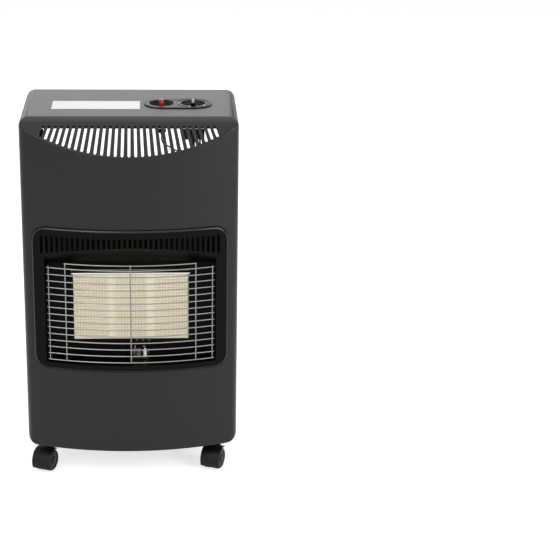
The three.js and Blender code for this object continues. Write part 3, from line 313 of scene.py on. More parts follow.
class Rod:
    """A round bar drawn on from its tip in straight runs and bends."""

    def __init__(
        self, mesh: Mesh, start: Vector, heading: Vector, radius: float, sides: int = 10
    ) -> None:
        """Makes the first end.

        Args:
            mesh: The mesh that gets the bar.
            start: The middle of its first end.
            heading: The way that it sets off.
            radius: Its radius.
            sides: The number of its sides.
        """
        self.mesh = mesh
        made = bmesh.ops.create_circle(
            mesh, cap_ends=True, segments=sides, radius=radius, matrix=aimed(start, heading)
        )
        self.tip = made["verts"][0].link_faces[0]

    @staticmethod
    def face_of(made: list) -> bmesh.types.BMFace:
        """Picks the face from what an operator made."""
        return next(item for item in made if isinstance(item, bmesh.types.BMFace))

    def run(self, step: Vector) -> None:
        """Draws the bar straight on.

        Args:
            step: How far and which way.
        """
        made = bmesh.ops.extrude_face_region(self.mesh, geom=[self.tip])
        self.tip = self.face_of(made["geom"])
        bmesh.ops.translate(self.mesh, verts=self.tip.verts, vec=step)

    def bend(self, centre: Vector, angle: float, steps: int, axis: Vector = UP) -> None:
        """Draws the bar round a centre.

        Args:
            centre: A point on the bend's axis.
            angle: The turn in radians.
            steps: The number of pieces in the bend.
            axis: The bend's axis.
        """
        made = bmesh.ops.spin(
            self.mesh,
            geom=[self.tip, *self.tip.edges, *self.tip.verts],
            cent=centre,
            axis=axis,
            angle=angle,
            steps=steps,
        )
        self.tip = self.face_of(made["geom_last"])


def aimed(place: Vector, axis: Vector, along: str = "Z") -> Matrix:
    """Makes the matrix that puts a shape at a place and points one of its axes along another."""
    return Matrix.Translation(place) @ axis.to_track_quat(along, "Y").to_matrix().to_4x4()


def turned(
    mesh: Mesh, profile: Profile, centre: Vector, axis: Vector = UP, steps: int = 48
) -> None:
    """Turns a profile of radius and height fully round an axis.

    Args:
        mesh: The mesh that gets the turned shape.
        profile: Pairs of radius and height in millimetres.
        centre: Where the heights are counted from.
        axis: The direction of the heights.
        steps: The number of pieces in the full turn.
    """
    made = bmesh.new()
    verts = [made.verts.new((radius * MM, 0, height * MM)) for radius, height in profile]
    edges = [made.edges.new(pair) for pair in zip(verts, verts[1:])]
    bmesh.ops.spin(
        made,
        geom=verts + edges,
        cent=(0, 0, 0),
        axis=UP,
        angle=2 * math.pi,
        steps=steps,
        use_merge=True,
    )
    bmesh.ops.remove_doubles(made, verts=made.verts, dist=1e-6)
    bmesh.ops.transform(made, matrix=aimed(centre, axis), verts=made.verts)
    bmesh.ops.recalc_face_normals(made, faces=made.faces)
    add(mesh, made)


def add(mesh: Mesh, part: Mesh) -> None:
    """Adds one mesh to another and frees it.

    Args:
        mesh: The mesh that grows.
        part: The mesh that is added.
    """
    data = bpy.data.meshes.new("part")
    part.to_mesh(data)
    part.free()
    mesh.from_mesh(data)
    bpy.data.meshes.remove(data)


def bevelled(
    mesh: Mesh, edges: list[bmesh.types.BMEdge], width: float, segments: int
) -> list[bmesh.types.BMFace]:
    """Rounds edges of a mesh.

    Args:
        mesh: The mesh.
        edges: The edges.
        width: The width of the rounding.
        segments: The number of pieces across it.

    Returns:
        The new faces.
    """
    made = bmesh.ops.bevel(
        mesh,
        geom=edges,
        offset=width,
        offset_type="OFFSET",
        segments=segments,
        profile=0.5,
        affect="EDGES",
        material=-1,
    )
    return made["faces"]


def block(mesh: Mesh, low: Vector, high: Vector, edge: float, segments: int = 2) -> None:
    """Adds a box with softened edges.

    Args:
        mesh: The mesh that gets the box.
        low: Its lowest corner.
        high: Its highest corner.
        edge: The width of its softened edges.
        segments: The number of pieces across each softened edge.
    """
    place = Matrix.Translation((low + high) / 2) @ Matrix.Diagonal((*(high - low), 1))
    made = bmesh.ops.create_cube(mesh, size=1, matrix=place)
    sides = list({side for vert in made["verts"] for side in vert.link_edges})
    bevelled(mesh, sides, edge, segments)


def linked(name: str, data: bpy.types.ID) -> bpy.types.Object:
    """Makes an object of its data and puts it in the scene.

    Args:
        name: The object's name.
        data: Its mesh, lamp or camera.

    Returns:
        The object.
    """
    made = bpy.data.objects.new(name, data)
    bpy.context.scene.collection.objects.link(made)
    return made


@dataclass
class Workshop:
    """Turns bmeshes into placed, dressed pieces."""

    sharp_from: float = 32.0
    square_from: float = 60.0
    weld: float = 2e-6
    flat_within: float = 0.4

    def finished(
        self, name: str, mesh: Mesh, finish: Finish, slot: str, body: str = "cabinet"
    ) -> bpy.types.Object:
        """Makes a piece of a bmesh and lets it ride on a body.

        Args:
            name: The piece's name.
            mesh: Its shape, in place, which is freed.
            finish: What it wears.
            slot: The record's material slot; not used.
            body: The body that carries it.

        Returns:
            The new object.
        """
        data = bpy.data.meshes.new(name)
        mesh.to_mesh(data)
        mesh.free()
        piece = linked(name, data)
        data.materials.append(finish.material())
        data.shade_smooth()
        data.set_sharp_from_angle(angle=math.radians(self.sharp_from))
        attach(piece, body)
        LOG.info("%s rides on %s", name, body)
        return piece

    def standing_for(self, node: str, mesh: Mesh) -> bpy.types.Object:
        """Makes a piece that replaces a node, on its body and in its finish.

        Args:
            node: The node's name.
            mesh: The new shape, in place, which is freed.

        Returns:
            The new object.
        """
        body, slot = body_slot(node)
        piece = self.finished(f"{node}_skin", mesh, finish_of(node), slot, body)
        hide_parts(node)
        return piece

    def flatten(self, piece: bpy.types.Object) -> None:
        """Keeps a piece's large faces flat in the shading."""
        weigh = piece.modifiers.new("flat_faces", "WEIGHTED_NORMAL")
        weigh.keep_sharp = True

    def copy_of(self, node: str) -> Mesh:
        """Merges a copy of a node's loose triangles into faces.

        Args:
            node: The node's name.

        Returns:
            The merged copy.
        """
        mesh = bmesh.new()
        mesh.from_mesh(frame["nodes"][node].data)
        bmesh.ops.remove_doubles(mesh, verts=mesh.verts, dist=self.weld)
        limit = math.radians(self.flat_within)
        bmesh.ops.dissolve_limit(mesh, angle_limit=limit, verts=mesh.verts, edges=mesh.edges)
        return mesh

    def soften(self, piece: bpy.types.Object, width: float) -> None:
        """Softens a piece's square edges.

        Args:
            piece: The piece.
            width: The width of the softened edges.
        """
        edges = piece.modifiers.new("soft_edges", "BEVEL")
        edges.width = width
        edges.segments = 2
        edges.limit_method = "ANGLE"
        edges.angle_limit = math.radians(self.square_from)

    def dressed(self, node: str, edge: float = 0.0) -> None:
        """Replaces a node by a smooth-shaded copy.

        Args:
            node: The node's name.
            edge: The width of its softened edges, or nought for none.
        """
        piece = self.standing_for(node, self.copy_of(node))
        if edge:
            self.soften(piece, edge)
        self.flatten(piece)


def finish_of(node: str) -> Finish:
    """Finds what a node wears, by the longest name that its own begins with."""
    match = max((key for key in NODE_FINISH if node.startswith(key)), key=len)
    return NODE_FINISH[match]


def body_slot(node: str) -> tuple[str, str]:
    """Finds the body and the material slot of a node in the record.

    Args:
        node: The node's name.

    Returns:
        The body's name and the slot's name.
    """
    record = frame["record"]
    bodies = record["behaviour"]["bodies"]
    body = next(name for name, members in bodies.items() if node in members)
    slot = next(part["material_slot"] for part in record["subparts"] if part["node"] == node)
    return body, slot


# ---------------------------------- sub-assemblies
@dataclass
class Casing:
    """The painted sheet metal and the plain sheets inside it."""

    shop: Workshop
    layout: Layout
    crease: float = 1.6 * MM
    crease_steps: int = 4
    crease_turn: tuple[float, float] = (30.0, 52.0)
    facet_slope: float = 49.0
    facet_match: float = 0.02
    sheets: tuple[str, ...] = (
        "rear_cover", "base_pan", "burner_surround", "heat_deflector", "bottle_partition",
        "burner_box", "burner_rim",
    )
    frame_edge: float = 0.8 * MM
    frame_rim: float = 3.8 * MM
    frame_steps: int = 7
    frame_front: float = 0.7
    # How far a rounded rim face must face the front, and how far downwards it may face, to wear the
    # painted highlight.
    highlight_front: float = 0.62
    highlight_low: float = -0.2
    stay_place: tuple[float, float] = (9 * MM, 60 * MM)
    stay_size: tuple[float, float, float] = (9 * MM, 1.2 * MM, 55 * MM)
    stay_edge: float = 0.3 * MM
    plate_low: tuple[float, float] = (-155 * MM, 87 * MM)
    plate_size: tuple[float, float, float] = (175 * MM, 64 * MM, 0.4 * MM)
    plate_edge: float = 0.12 * MM

    def build(self) -> None:
        """Dresses every sheet."""
        for node in self.sheets:
            self.shop.dressed(node)
        self.shell()
        self.frame()
        self.deflector_stay()
        self.blank_plate()

    def shell(self) -> None:
        """Dresses the cabinet shell, with the crease under the slots rounded."""
        mesh = self.shop.copy_of("cabinet_shell")
        slope = math.radians(self.facet_slope)
        facet = Vector((0, -math.sin(slope), math.cos(slope)))
        low, high = (math.radians(angle) for angle in self.crease_turn)
        creases = []
        for edge in mesh.edges:
            if len(edge.link_faces) != 2:
                continue
            apart = min((face.normal - facet).length for face in edge.link_faces)
            turn = edge.calc_face_angle()
            if apart < self.facet_match and edge.is_convex and low < turn < high:
                creases.append(edge)
        bevelled(mesh, creases, self.crease, self.crease_steps)
        self.shop.flatten(self.shop.standing_for("cabinet_shell", mesh))

    def frame(self) -> None:
        """Dresses the burner frame, with its outer edge well rounded and a painted highlight on the
        lit-facing part of that rounding.
        """
        mesh = self.shop.copy_of("burner_frame")
        square = math.radians(self.shop.square_from)
        front = [
            edge for edge in mesh.edges
            if len(edge.link_faces) == 2
            and edge.is_convex
            and edge.calc_face_angle() > square
            and any(face.normal.y < -self.frame_front for face in edge.link_faces)
        ]
        rim = {max((edge.verts[0] for edge in front), key=lambda vert: vert.co.x)}
        grown = 0
        while grown != len(rim):
            grown = len(rim)
            rim |= {vert for edge in front if rim & set(edge.verts) for vert in edge.verts}
        outer = [edge for edge in front if set(edge.verts) <= rim]
        # Faces that face the front and not downwards wear the painted highlight; the bottom of the
        # rim stays plain black.
        for face in bevelled(mesh, outer, self.frame_rim, self.frame_steps):
            takes_highlight = face.normal.y < -self.highlight_front and face.normal.z > self.highlight_low
            face.material_index = int(takes_highlight)
        piece = self.shop.standing_for("burner_frame", mesh)
        piece.data.materials.append(FINISH.painted_highlight_rim.material())
        self.shop.soften(piece, self.frame_edge)
        self.shop.flatten(piece)

    def deflector_stay(self) -> None:
        """Hangs the narrow stay under the left end of the deflector."""
        low, high = corners("heat_deflector")
        x, y = self.stay_place
        corner = Vector((low.x + x, self.layout.front_line + y, low.z - self.stay_size[2]))
        size = Vector(self.stay_size)
        size.z = (low.z + high.z) / 2 - corner.z
        mesh = bmesh.new()
        block(mesh, corner, corner + size, self.stay_edge, 1)
        self.shop.finished("deflector_stay", mesh, FINISH.enamel, "charcoal")

    def blank_plate(self) -> None:
        """Lays the blank white plate on the top."""
        mesh = bmesh.new()
        x, y = self.plate_low
        low = Vector((x, self.layout.front_line + y, self.layout.top))
        block(mesh, low, low + Vector(self.plate_size), self.plate_edge)
        self.shop.finished("blank_plate", mesh, FINISH.plate, "charcoal")


@dataclass
class Guard:
    """The bowed wire guard in front of the burner."""

    shop: Workshop
    layout: Layout
    wires: int = 15
    pitch: float = 14.04 * MM
    extra: float = 10.8 * MM
    wire: float = 1.2 * MM
    corner: float = 3.5 * MM
    corner_steps: int = 5
    bow_steps: int = 28
    short_steps: int = 22
    short_reach: float = 131.2 * MM
    seat: float = 1.92 * MM
    uprights: tuple[float, ...] = (-163.6 * MM, -130 * MM, 0.0, 130 * MM, 163.6 * MM)
    post_rise: float = 3 * MM

    def build(self) -> None:
        """Makes the wires and joins them in one piece."""
        mesh = bmesh.new()
        low, high = corners("guard_grille")
        bottom = low.z + self.wire
        for row in range(self.wires):
            self.full_wire(mesh, bottom + row * self.pitch, high)
        top = bottom + (self.wires - 1) * self.pitch
        self.short_wire(mesh, top + self.extra)
        for x in self.uprights:
            inner = abs(x) < self.short_reach
            rise = self.wire + self.extra if inner else self.post_rise
            self.upright(mesh, x, low.z, top + rise)
        bmesh.ops.recalc_face_normals(mesh, faces=mesh.faces)
        self.shop.standing_for("guard_grille", mesh)

    @property
    def bend_radius(self) -> float:
        """The radius of the wires' middle line."""
        return self.layout.bow_radius - self.wire

    def full_wire(self, mesh: Mesh, z: float, high: Vector) -> None:
        """Adds one wire whose ends turn back.

        Args:
            mesh: The guard's mesh.
            z: The wire's height.
            high: The highest corner of the guard's box.
        """
        axis = Vector((0, self.layout.bow_axis, z))
        end = high.x - self.wire
        reach = end - self.corner
        y = axis.y - math.sqrt((self.bend_radius - self.corner) ** 2 - reach**2)
        back = Vector((0, high.y - y, 0))
        spread = math.asin(reach / (self.bend_radius - self.corner))
        rod = Rod(mesh, Vector((-end, y, z)) + back, -BACK, self.wire)
        rod.run(-back)
        rod.bend(Vector((-reach, y, z)), QUARTER - spread, self.corner_steps)
        rod.bend(axis, 2 * spread, self.bow_steps)
        rod.bend(Vector((reach, y, z)), QUARTER - spread, self.corner_steps)
        rod.run(back)

    def short_wire(self, mesh: Mesh, z: float) -> None:
        """Adds the short wire at the top.

        Args:
            mesh: The guard's mesh.
            z: The wire's height.
        """
        axis = Vector((0, self.layout.bow_axis, z))
        spread = math.asin(self.short_reach / self.bend_radius)
        out = Vector((-math.sin(spread), -math.cos(spread), 0))
        heading = Vector((math.cos(spread), -math.sin(spread), 0))
        rod = Rod(mesh, axis + out * self.bend_radius, heading, self.wire)
        rod.bend(axis, 2 * spread, self.short_steps)

    def upright(self, mesh: Mesh, x: float, low: float, high: float) -> None:
        """Adds one upright wire behind the others."""
        y = self.layout.bow_axis - math.sqrt(self.bend_radius**2 - x**2) + self.seat
        Rod(mesh, Vector((x, y, low)), UP, self.wire).run(UP * (high - low))


@dataclass
class Plaques:
    """The three ceramic plaques, the bright lip over them and the lugs under them."""

    shop: Workshop
    cell: float = 5.7 * MM
    joint_border: float = 7.2 * MM
    outer_border: float = 2.8 * MM
    groove: float = 0.6 * MM
    joint_sink: float = 0.25 * MM
    joint_edge: float = 0.1 * MM
    tuck: float = 0.05 * MM
    sink: float = 0.8 * MM
    edge: float = 0.3 * MM
    lip: float = 2.6 * MM
    lip_proud: float = 1.2 * MM
    lip_tuck: float = 0.1 * MM
    lip_edge: float = 0.4 * MM
    lugs: tuple[float, ...] = (11 * MM, 23 * MM, 35 * MM)
    lug_radius: float = 3.2
    lug_rise: float = 0.9

    def build(self) -> None:
        """Makes every plaque, the lip and the lugs."""
        joint, outer = self.joint_border, self.outer_border
        self.plaque("ceramic_plaque_left", (outer, joint))
        self.plaque("ceramic_plaque_centre", (joint, joint))
        self.plaque("ceramic_plaque_right", (joint, outer))
        self.joints()
        self.top_lip()
        self.lower_lugs()

    def plaque(self, node: str, sides: tuple[float, float]) -> None:
        """Makes one plaque with a grid of grooves in its face, darkened as painted shade.

        Args:
            node: The plaque's node.
            sides: The widths of its left and right borders.
        """
        low, high = corners(node)
        mesh = bmesh.new()
        block(mesh, low + BACK * self.sink, high, self.edge, 1)
        field = bmesh.new()
        size = Vector((high.x - low.x - sum(sides), high.z - low.z - 2 * self.outer_border, 1))
        middle = (low + high) / 2
        middle.x += (sides[0] - sides[1]) / 2
        middle.y = low.y
        upright = Matrix.Rotation(QUARTER, 4, "X") @ Matrix.Diagonal((*size, 1))
        bmesh.ops.create_grid(
            field,
            x_segments=round(size.x / self.cell),
            y_segments=round(size.y / self.cell),
            size=0.5,
            matrix=Matrix.Translation(middle) @ upright,
        )
        crossings = list(field.verts)
        bmesh.ops.inset_individual(
            field, faces=field.faces, thickness=self.groove, use_even_offset=True
        )
        bmesh.ops.translate(field, verts=crossings, vec=BACK * self.sink)
        # Faces that touch a crossing are the grooves; they get the darker copy of the ceramic as
        # painted shade.
        for face in field.faces:
            face.material_index = int(any(vert in crossings for vert in face.verts))
        add(mesh, field)
        self.frame_round(mesh, low, high, sides)
        piece = self.shop.standing_for(node, mesh)
        piece.data.materials.append(FINISH.groove.material())

    def frame_round(
        self, mesh: Mesh, low: Vector, high: Vector, sides: tuple[float, float]
    ) -> None:
        """Adds the plain border round the grooved field.

        Args:
            mesh: The plaque's mesh.
            low: The lowest corner of the plaque's box.
            high: The highest corner of the plaque's box.
            sides: The widths of its left and right borders.
        """
        back = low.y + 2 * self.sink
        left, right = low.x + sides[0], high.x - sides[1]
        for start, end in ((low.x, left), (right, high.x)):
            block(mesh, Vector((start, low.y, low.z)), Vector((end, back, high.z)), self.edge, 1)
        left, right = left - self.edge, right + self.edge
        below, above = low.z + self.outer_border, high.z - self.outer_border
        for start, end in ((low.z, below), (above, high.z)):
            block(mesh, Vector((left, low.y, start)), Vector((right, back, end)), self.edge, 1)

    def joints(self) -> None:
        """Packs white fibre into the joints between the plaques."""
        mesh = bmesh.new()
        for before, after in (("left", "centre"), ("centre", "right")):
            start = corners(f"ceramic_plaque_{before}")[1]
            end = corners(f"ceramic_plaque_{after}")[0]
            low = Vector((start.x - self.tuck, end.y + self.joint_sink, end.z))
            high = Vector((end.x + self.tuck, end.y + 4 * self.sink, start.z))
            block(mesh, low, high, self.joint_edge, 1)
        self.shop.finished("plaque_joints", mesh, FINISH.fibre, "ceramic")

    def top_lip(self) -> None:
        """Adds the bright strip along the top of the plaques."""
        low, high = corners("burner_rim")
        start = Vector((low.x + self.lip, low.y - self.lip_proud, high.z - 2 * self.lip))
        end = Vector((high.x - self.lip, low.y + self.lip_tuck, high.z - self.lip))
        mesh = bmesh.new()
        block(mesh, start, end, self.lip_edge)
        self.shop.finished("rim_top_lip", mesh, FINISH.bright, "burner_steel")

    def lower_lugs(self) -> None:
        """Adds the small round lugs on the rim over the pilot."""
        low = corners("burner_rim")[0]
        mesh = bmesh.new()
        radius = self.lug_radius
        profile = [(0, -0.2), (radius, -0.2), (radius, 0.8), (radius - 0.9, 1.6), (0, 1.9)]
        height = low.z + radius * MM * self.lug_rise
        for x in self.lugs:
            turned(mesh, profile, Vector((x, low.y, height)), -BACK, 20)
        self.shop.finished("rim_lugs", mesh, FINISH.dark_steel_and_shade, "burner_steel")


@dataclass
class Pilot:
    """The pilot burner and the spark electrode under the plaques."""

    shop: Workshop
    rings: int = 4
    foot: float = 4.4
    head: float = 4.6
    glaze: float = 4.2
    wire: float = 0.8 * MM
    wire_from: float = 17 * MM
    wire_rise: float = 4 * MM
    wire_bend: float = 2 * MM
    wire_turn: float = 1.3
    wire_drop: float = 2.2 * MM

    def build(self) -> None:
        """Makes the pilot's visible pieces."""
        self.burner()
        self.electrode()

    def burner(self) -> None:
        """Makes the pilot burner with its ringed neck and wider head."""
        low, high = corners("pilot_burner")
        tall = (high.z - low.z) / MM
        profile = [(0.0, 0.0), (5.2, 0.0), (5.4, 0.4), (5.4, 3.4), (4.6, 4.0)]
        pitch = (tall - self.foot - self.head) / self.rings
        for ring in range(self.rings):
            base = self.foot + ring * pitch
            profile += [(4.1, base), (4.8, base + 0.3 * pitch), (4.8, base + 0.7 * pitch)]
        profile += [(4.1, tall - 4.4), (5.0, tall - 3.6), (5.0, tall - 0.5)]
        profile += [(4.4, tall), (0.0, tall)]
        mesh = bmesh.new()
        turned(mesh, profile, over("pilot_burner", low.z), steps=28)
        self.shop.standing_for("pilot_burner", mesh)

    def electrode(self) -> None:
        """Makes the glazed insulator with its steel wire."""
        low, high = corners("spark_electrode")
        glaze = self.glaze
        foot = Vector((high.x - glaze * MM, over("spark_electrode", 0).y, low.z))
        mesh = bmesh.new()
        profile = [
            (0, 0), (glaze, 0), (glaze, 2.6), (3.4, 3.4), (3.4, 13.0), (3.1, 14.6),
            (1.6, 17.8), (0, 18.0),
        ]
        turned(mesh, profile, foot, steps=28)
        self.shop.standing_for("spark_electrode", mesh)
        wire = bmesh.new()
        start = foot + UP * self.wire_from
        rod = Rod(wire, start, UP, self.wire, 8)
        rod.run(UP * self.wire_rise)
        turn_at = start + Vector((-self.wire_bend, 0, self.wire_rise))
        rod.bend(turn_at, -self.wire_turn, 6, BACK)
        tip = Vector((low.x + self.wire, start.y, high.z - self.wire_drop))
        rod.run(tip - rod.tip.calc_center_median())
        bmesh.ops.recalc_face_normals(wire, faces=wire.faces)
        self.shop.finished("electrode_wire", wire, FINISH.steel, "burner_steel")


@dataclass
class Controls:
    """The oval panel, its bowl and button, and the knob in its round recess."""

    shop: Workshop
    bowl_radius: float = 27.0
    bowl_floor: float = 15.0
    bowl_depth: float = 13.0
    bowl_steps: int = 6
    bowl_curve: float = 1.25
    button_stem: float = 2.2
    button_cap: float = 13.2
    panel_edge: float = 0.5 * MM
    knob_radius: float = 21.4
    knob_disc: float = 3.2
    grip_half: float = 4 * MM
    grip_short: float = 2.6 * MM
    grip_sink: float = 0.4 * MM
    grip_low: float = 1.0 * MM
    grip_edge: float = 0.9 * MM
    bar_inset: tuple[float, float] = (1.3 * MM, 0.8 * MM)
    bar_low: float = 0.3 * MM
    bar_edge: float = 0.35 * MM
    ring_radius: float = 33.0
    mark_radius: float = 29.2
    mark_turns: tuple[float, ...] = (-107.0, -40.0, 178.0)

    def build(self) -> None:
        """Makes every control."""
        self.shop.dressed("control_panel", self.panel_edge)
        self.bowl()
        self.button()
        self.knob()
        self.ring()
        self.marks()

    @property
    def face(self) -> float:
        """The height of the panel's face."""
        return corners("control_panel")[1].z

    def bowl(self) -> None:
        """Lines the finger bowl with a smooth dish."""
        mesh = bmesh.new()
        rim, floor, deep = self.bowl_radius, self.bowl_floor, self.bowl_depth
        outline = [(2.8, -deep + 0.5), (floor * 0.8, -deep + 0.5), (floor, -deep + 1.2)]
        for step in range(self.bowl_steps):
            share = (step + 1) / self.bowl_steps
            height = -deep + 0.7 + (deep - 0.5) * share**self.bowl_curve
            outline.append((floor + (rim - floor) * share, height))
        outline += [(rim + 0.9, 0.25), (rim + 1.1, 0.0), (rim, -0.2)]
        under = [(radius - 0.3, height - 0.35) for radius, height in reversed(outline[:-3])]
        profile = outline + under[1:] + outline[:1]
        turned(mesh, profile, over("piezo_button", self.face), steps=72)
        self.shop.finished("bowl_liner", mesh, FINISH.bowl, "gloss_black")

    def button(self) -> None:
        """Makes the red igniter button with a rounded cap."""
        low, high = corners("piezo_button")
        tall = (high.z - low.z) / MM
        radius = (high.x - low.x) / 2 / MM
        stem, cap = self.button_stem, self.button_cap
        profile = [
            (0.0, 0.0), (stem, 0.0), (stem, cap), (radius, cap), (radius, tall - 2.4),
            (radius * 0.93, tall - 1.1), (radius * 0.74, tall - 0.3),
            (radius * 0.4, tall - 0.05), (0.0, tall),
        ]
        mesh = bmesh.new()
        turned(mesh, profile, over("piezo_button", low.z), steps=40)
        self.shop.standing_for("piezo_button", mesh)

    def knob(self) -> None:
        """Makes the black knob and its grey grip bar."""
        low, high = corners("control_knob")
        spot = over("control_knob", low.z)
        edge, disc = self.knob_radius, self.knob_disc
        profile = [
            (4.3, 0.0), (edge - 0.8, 0.0), (edge, 0.8), (edge, disc - 1.2),
            (edge - 0.5, disc - 0.4), (edge - 1.4, disc), (edge - 3.4, disc),
            (edge - 4.0, disc - 0.6), (edge - 4.6, disc - 0.6), (edge - 5.2, disc),
            (0.0, disc), (0.0, 1.9), (4.3, 1.9), (4.3, 0.0),
        ]
        mesh = bmesh.new()
        turned(mesh, profile, spot, steps=72)
        half = Vector((self.grip_half, (high.y - low.y) / 2 - self.grip_short, 0))
        top = spot + UP * (high.z - low.z)
        base = spot + UP * (disc * MM - self.grip_sink)
        block(mesh, base - half, top + half - UP * self.grip_low, self.grip_edge, 3)
        self.shop.standing_for("control_knob", mesh)
        bar = bmesh.new()
        inner = half - Vector((*self.bar_inset, 0))
        block(bar, base - inner, top + inner - UP * self.bar_low, self.bar_edge)
        self.shop.finished("knob_grip_bar", bar, FINISH.knob_grey, "gloss_black", "knob")

    def ring(self) -> None:
        """Adds the raised ring round the knob's recess."""
        outer = self.ring_radius
        mesh = bmesh.new()
        profile = [
            (outer - 1.3, -0.2), (outer - 1.3, 0.25), (outer - 0.9, 0.5), (outer - 0.4, 0.5),
            (outer, 0.25), (outer, -0.2), (outer - 1.3, -0.2),
        ]
        turned(mesh, profile, over("control_knob", self.face), steps=80)
        self.shop.finished("dial_ring", mesh, FINISH.gloss_black, "gloss_black")

    def marks(self) -> None:
        """Adds the small plain marks round the knob."""
        mesh = bmesh.new()
        middle = over("control_knob", self.face)
        profile = [(0.0, -0.1), (2.3, -0.1), (2.3, 0.12), (2.1, 0.2), (0.0, 0.2)]
        for turn in self.mark_turns:
            angle = math.radians(turn)
            spot = middle + Vector((math.cos(angle), math.sin(angle), 0)) * self.mark_radius * MM
            turned(mesh, profile, spot, steps=20)
        self.shop.finished("dial_marks", mesh, FINISH.mark, "gloss_black")


@dataclass
class Castors:
    """The four swivel castors, each a hood over two wheels."""

    shop: Workshop
    wheel_radius: float = 23.0
    wheel_width: float = 17.0
    bore: float = 3.3
    hub: float = 8.0
    hood_inner: float = 24.6
    hood_outer: float = 27.2
    hood_half: float = 20.5
    hood_from: float = -28.0
    hood_to: float = 120.0
    hood_steps: int = 34
    web: float = 1.5
    trail: float = 17.0
    hood_top: float = 58.0

    def build(self) -> None:
        """Makes every castor."""
        for place in CASTOR_PLACES:
            across = self.joint(f"wheel_spin_a_{place}")[1]
            for side, sign in (("a", -1), ("b", 1)):
                centre, axis = self.joint(f"wheel_spin_{side}_{place}")
                self.wheel(f"castor_wheel_{side}_{place}", centre, axis * sign)
            stem = self.joint(f"castor_swivel_{place}")[0]
            self.hood(f"castor_hood_{place}", stem, across)

    def joint(self, name: str) -> tuple[Vector, Vector]:
        """Finds a joint's place and axis in the record.

        Args:
            name: The joint's name.

        Returns:
            A point on its axis, and the axis.
        """
        joints = frame["record"]["behaviour"]["joints"]
        found = next(joint for joint in joints if joint["name"] == name)
        return Vector(found["pos_m"]), Vector(found["axis"]).normalized()

    def wheel(self, node: str, centre: Vector, outward: Vector) -> None:
        """Makes one wheel with a rounded tread and a hub cap.

        Args:
            node: The wheel's node.
            centre: Its middle.
            outward: The way that its hub cap faces.
        """
        radius, half, hub, bore = self.wheel_radius, self.wheel_width / 2, self.hub, self.bore
        profile = [
            (bore, -half), (hub, -half), (hub + 1, 0.6 - half), (radius - 6, 0.6 - half),
            (radius - 5, -half), (radius - 1.7, -half), (radius - 0.5, 0.5 - half),
            (radius, 1.8 - half), (radius, half - 6), (radius - 0.4, half - 4.4),
            (radius - 1.6, half - 2.6), (radius - 3.4, half - 1.0), (radius - 5.4, half - 0.5),
            (radius - 6.6, half - 0.9), (radius - 8, half - 2), (hub + 0.6, half - 2),
            (hub, half - 1.4), (hub - 0.3, half - 0.2), (hub - 1.4, half), (0, half),
            (0, half - 1.7), (bore, half - 1.7), (bore, -half),
        ]
        mesh = bmesh.new()
        turned(mesh, profile, centre, outward, 56)
        self.shop.standing_for(node, mesh)

    def hood(self, node: str, stem: Vector, across: Vector) -> None:
        """Makes one hood: a barrel-shaped cover, a web and a boss for the stem.

        Args:
            node: The hood's node.
            stem: A point on the stem's axis.
            across: The direction of the wheels' axle.
        """
        inner, outer, half = self.hood_inner, self.hood_outer, self.hood_half
        middle = (inner + outer) / 2
        top, web = self.hood_top, self.web
        mesh = bmesh.new()
        shell = [
            (inner, -half), (middle - 0.3, -half), (middle + 0.2, 0.5 - half),
            (outer - 0.35, 8 - half), (outer, -3), (outer, 3), (outer - 0.35, half - 8),
            (middle + 0.2, half - 0.5), (middle - 0.3, half), (inner, half),
        ]
        self.sector(mesh, shell)
        self.sector(mesh, [(0.2, -web), (inner + 1, -web), (inner + 1, web), (0.2, web)])
        axle = Vector((0, self.trail * MM, self.wheel_radius * MM))
        disc = [(0, -web), (self.hub, -web), (self.hub, web), (0, web)]
        turned(mesh, disc, axle, ACROSS, 32)
        boss = [
            (0, 29), (8.9, 29), (9.5, 29.6), (9.5, top - 1.4), (8.9, top - 0.4),
            (8.0, top), (5.3, top), (5.3, 43.7), (0, 43.7),
        ]
        turned(mesh, boss, Vector(), steps=40)
        turn = Matrix((across, UP.cross(across), UP)).transposed().to_4x4()
        foot = Vector((stem.x, stem.y, 0))
        bmesh.ops.transform(mesh, matrix=Matrix.Translation(foot) @ turn, verts=mesh.verts)
        self.shop.standing_for(node, mesh)

    def sector(self, mesh: Mesh, profile: Profile) -> None:
        """Turns a closed profile part of the way round the axle.

        Args:
            mesh: The hood's mesh.
            profile: Pairs of radius and distance across, in millimetres.
        """
        made = bmesh.new()
        start = math.radians(self.hood_from)
        verts = []
        for radius, across in profile:
            y = self.trail + radius * math.cos(start)
            z = self.wheel_radius + radius * math.sin(start)
            verts.append(made.verts.new((across * MM, y * MM, z * MM)))
        face = made.faces.new(verts)
        bmesh.ops.spin(
            made,
            geom=[face, *face.edges, *verts],
            cent=(0, self.trail * MM, self.wheel_radius * MM),
            axis=ACROSS,
            angle=math.radians(self.hood_to - self.hood_from),
            steps=self.hood_steps,
        )
        bmesh.ops.recalc_face_normals(made, faces=made.faces)
        add(mesh, made)


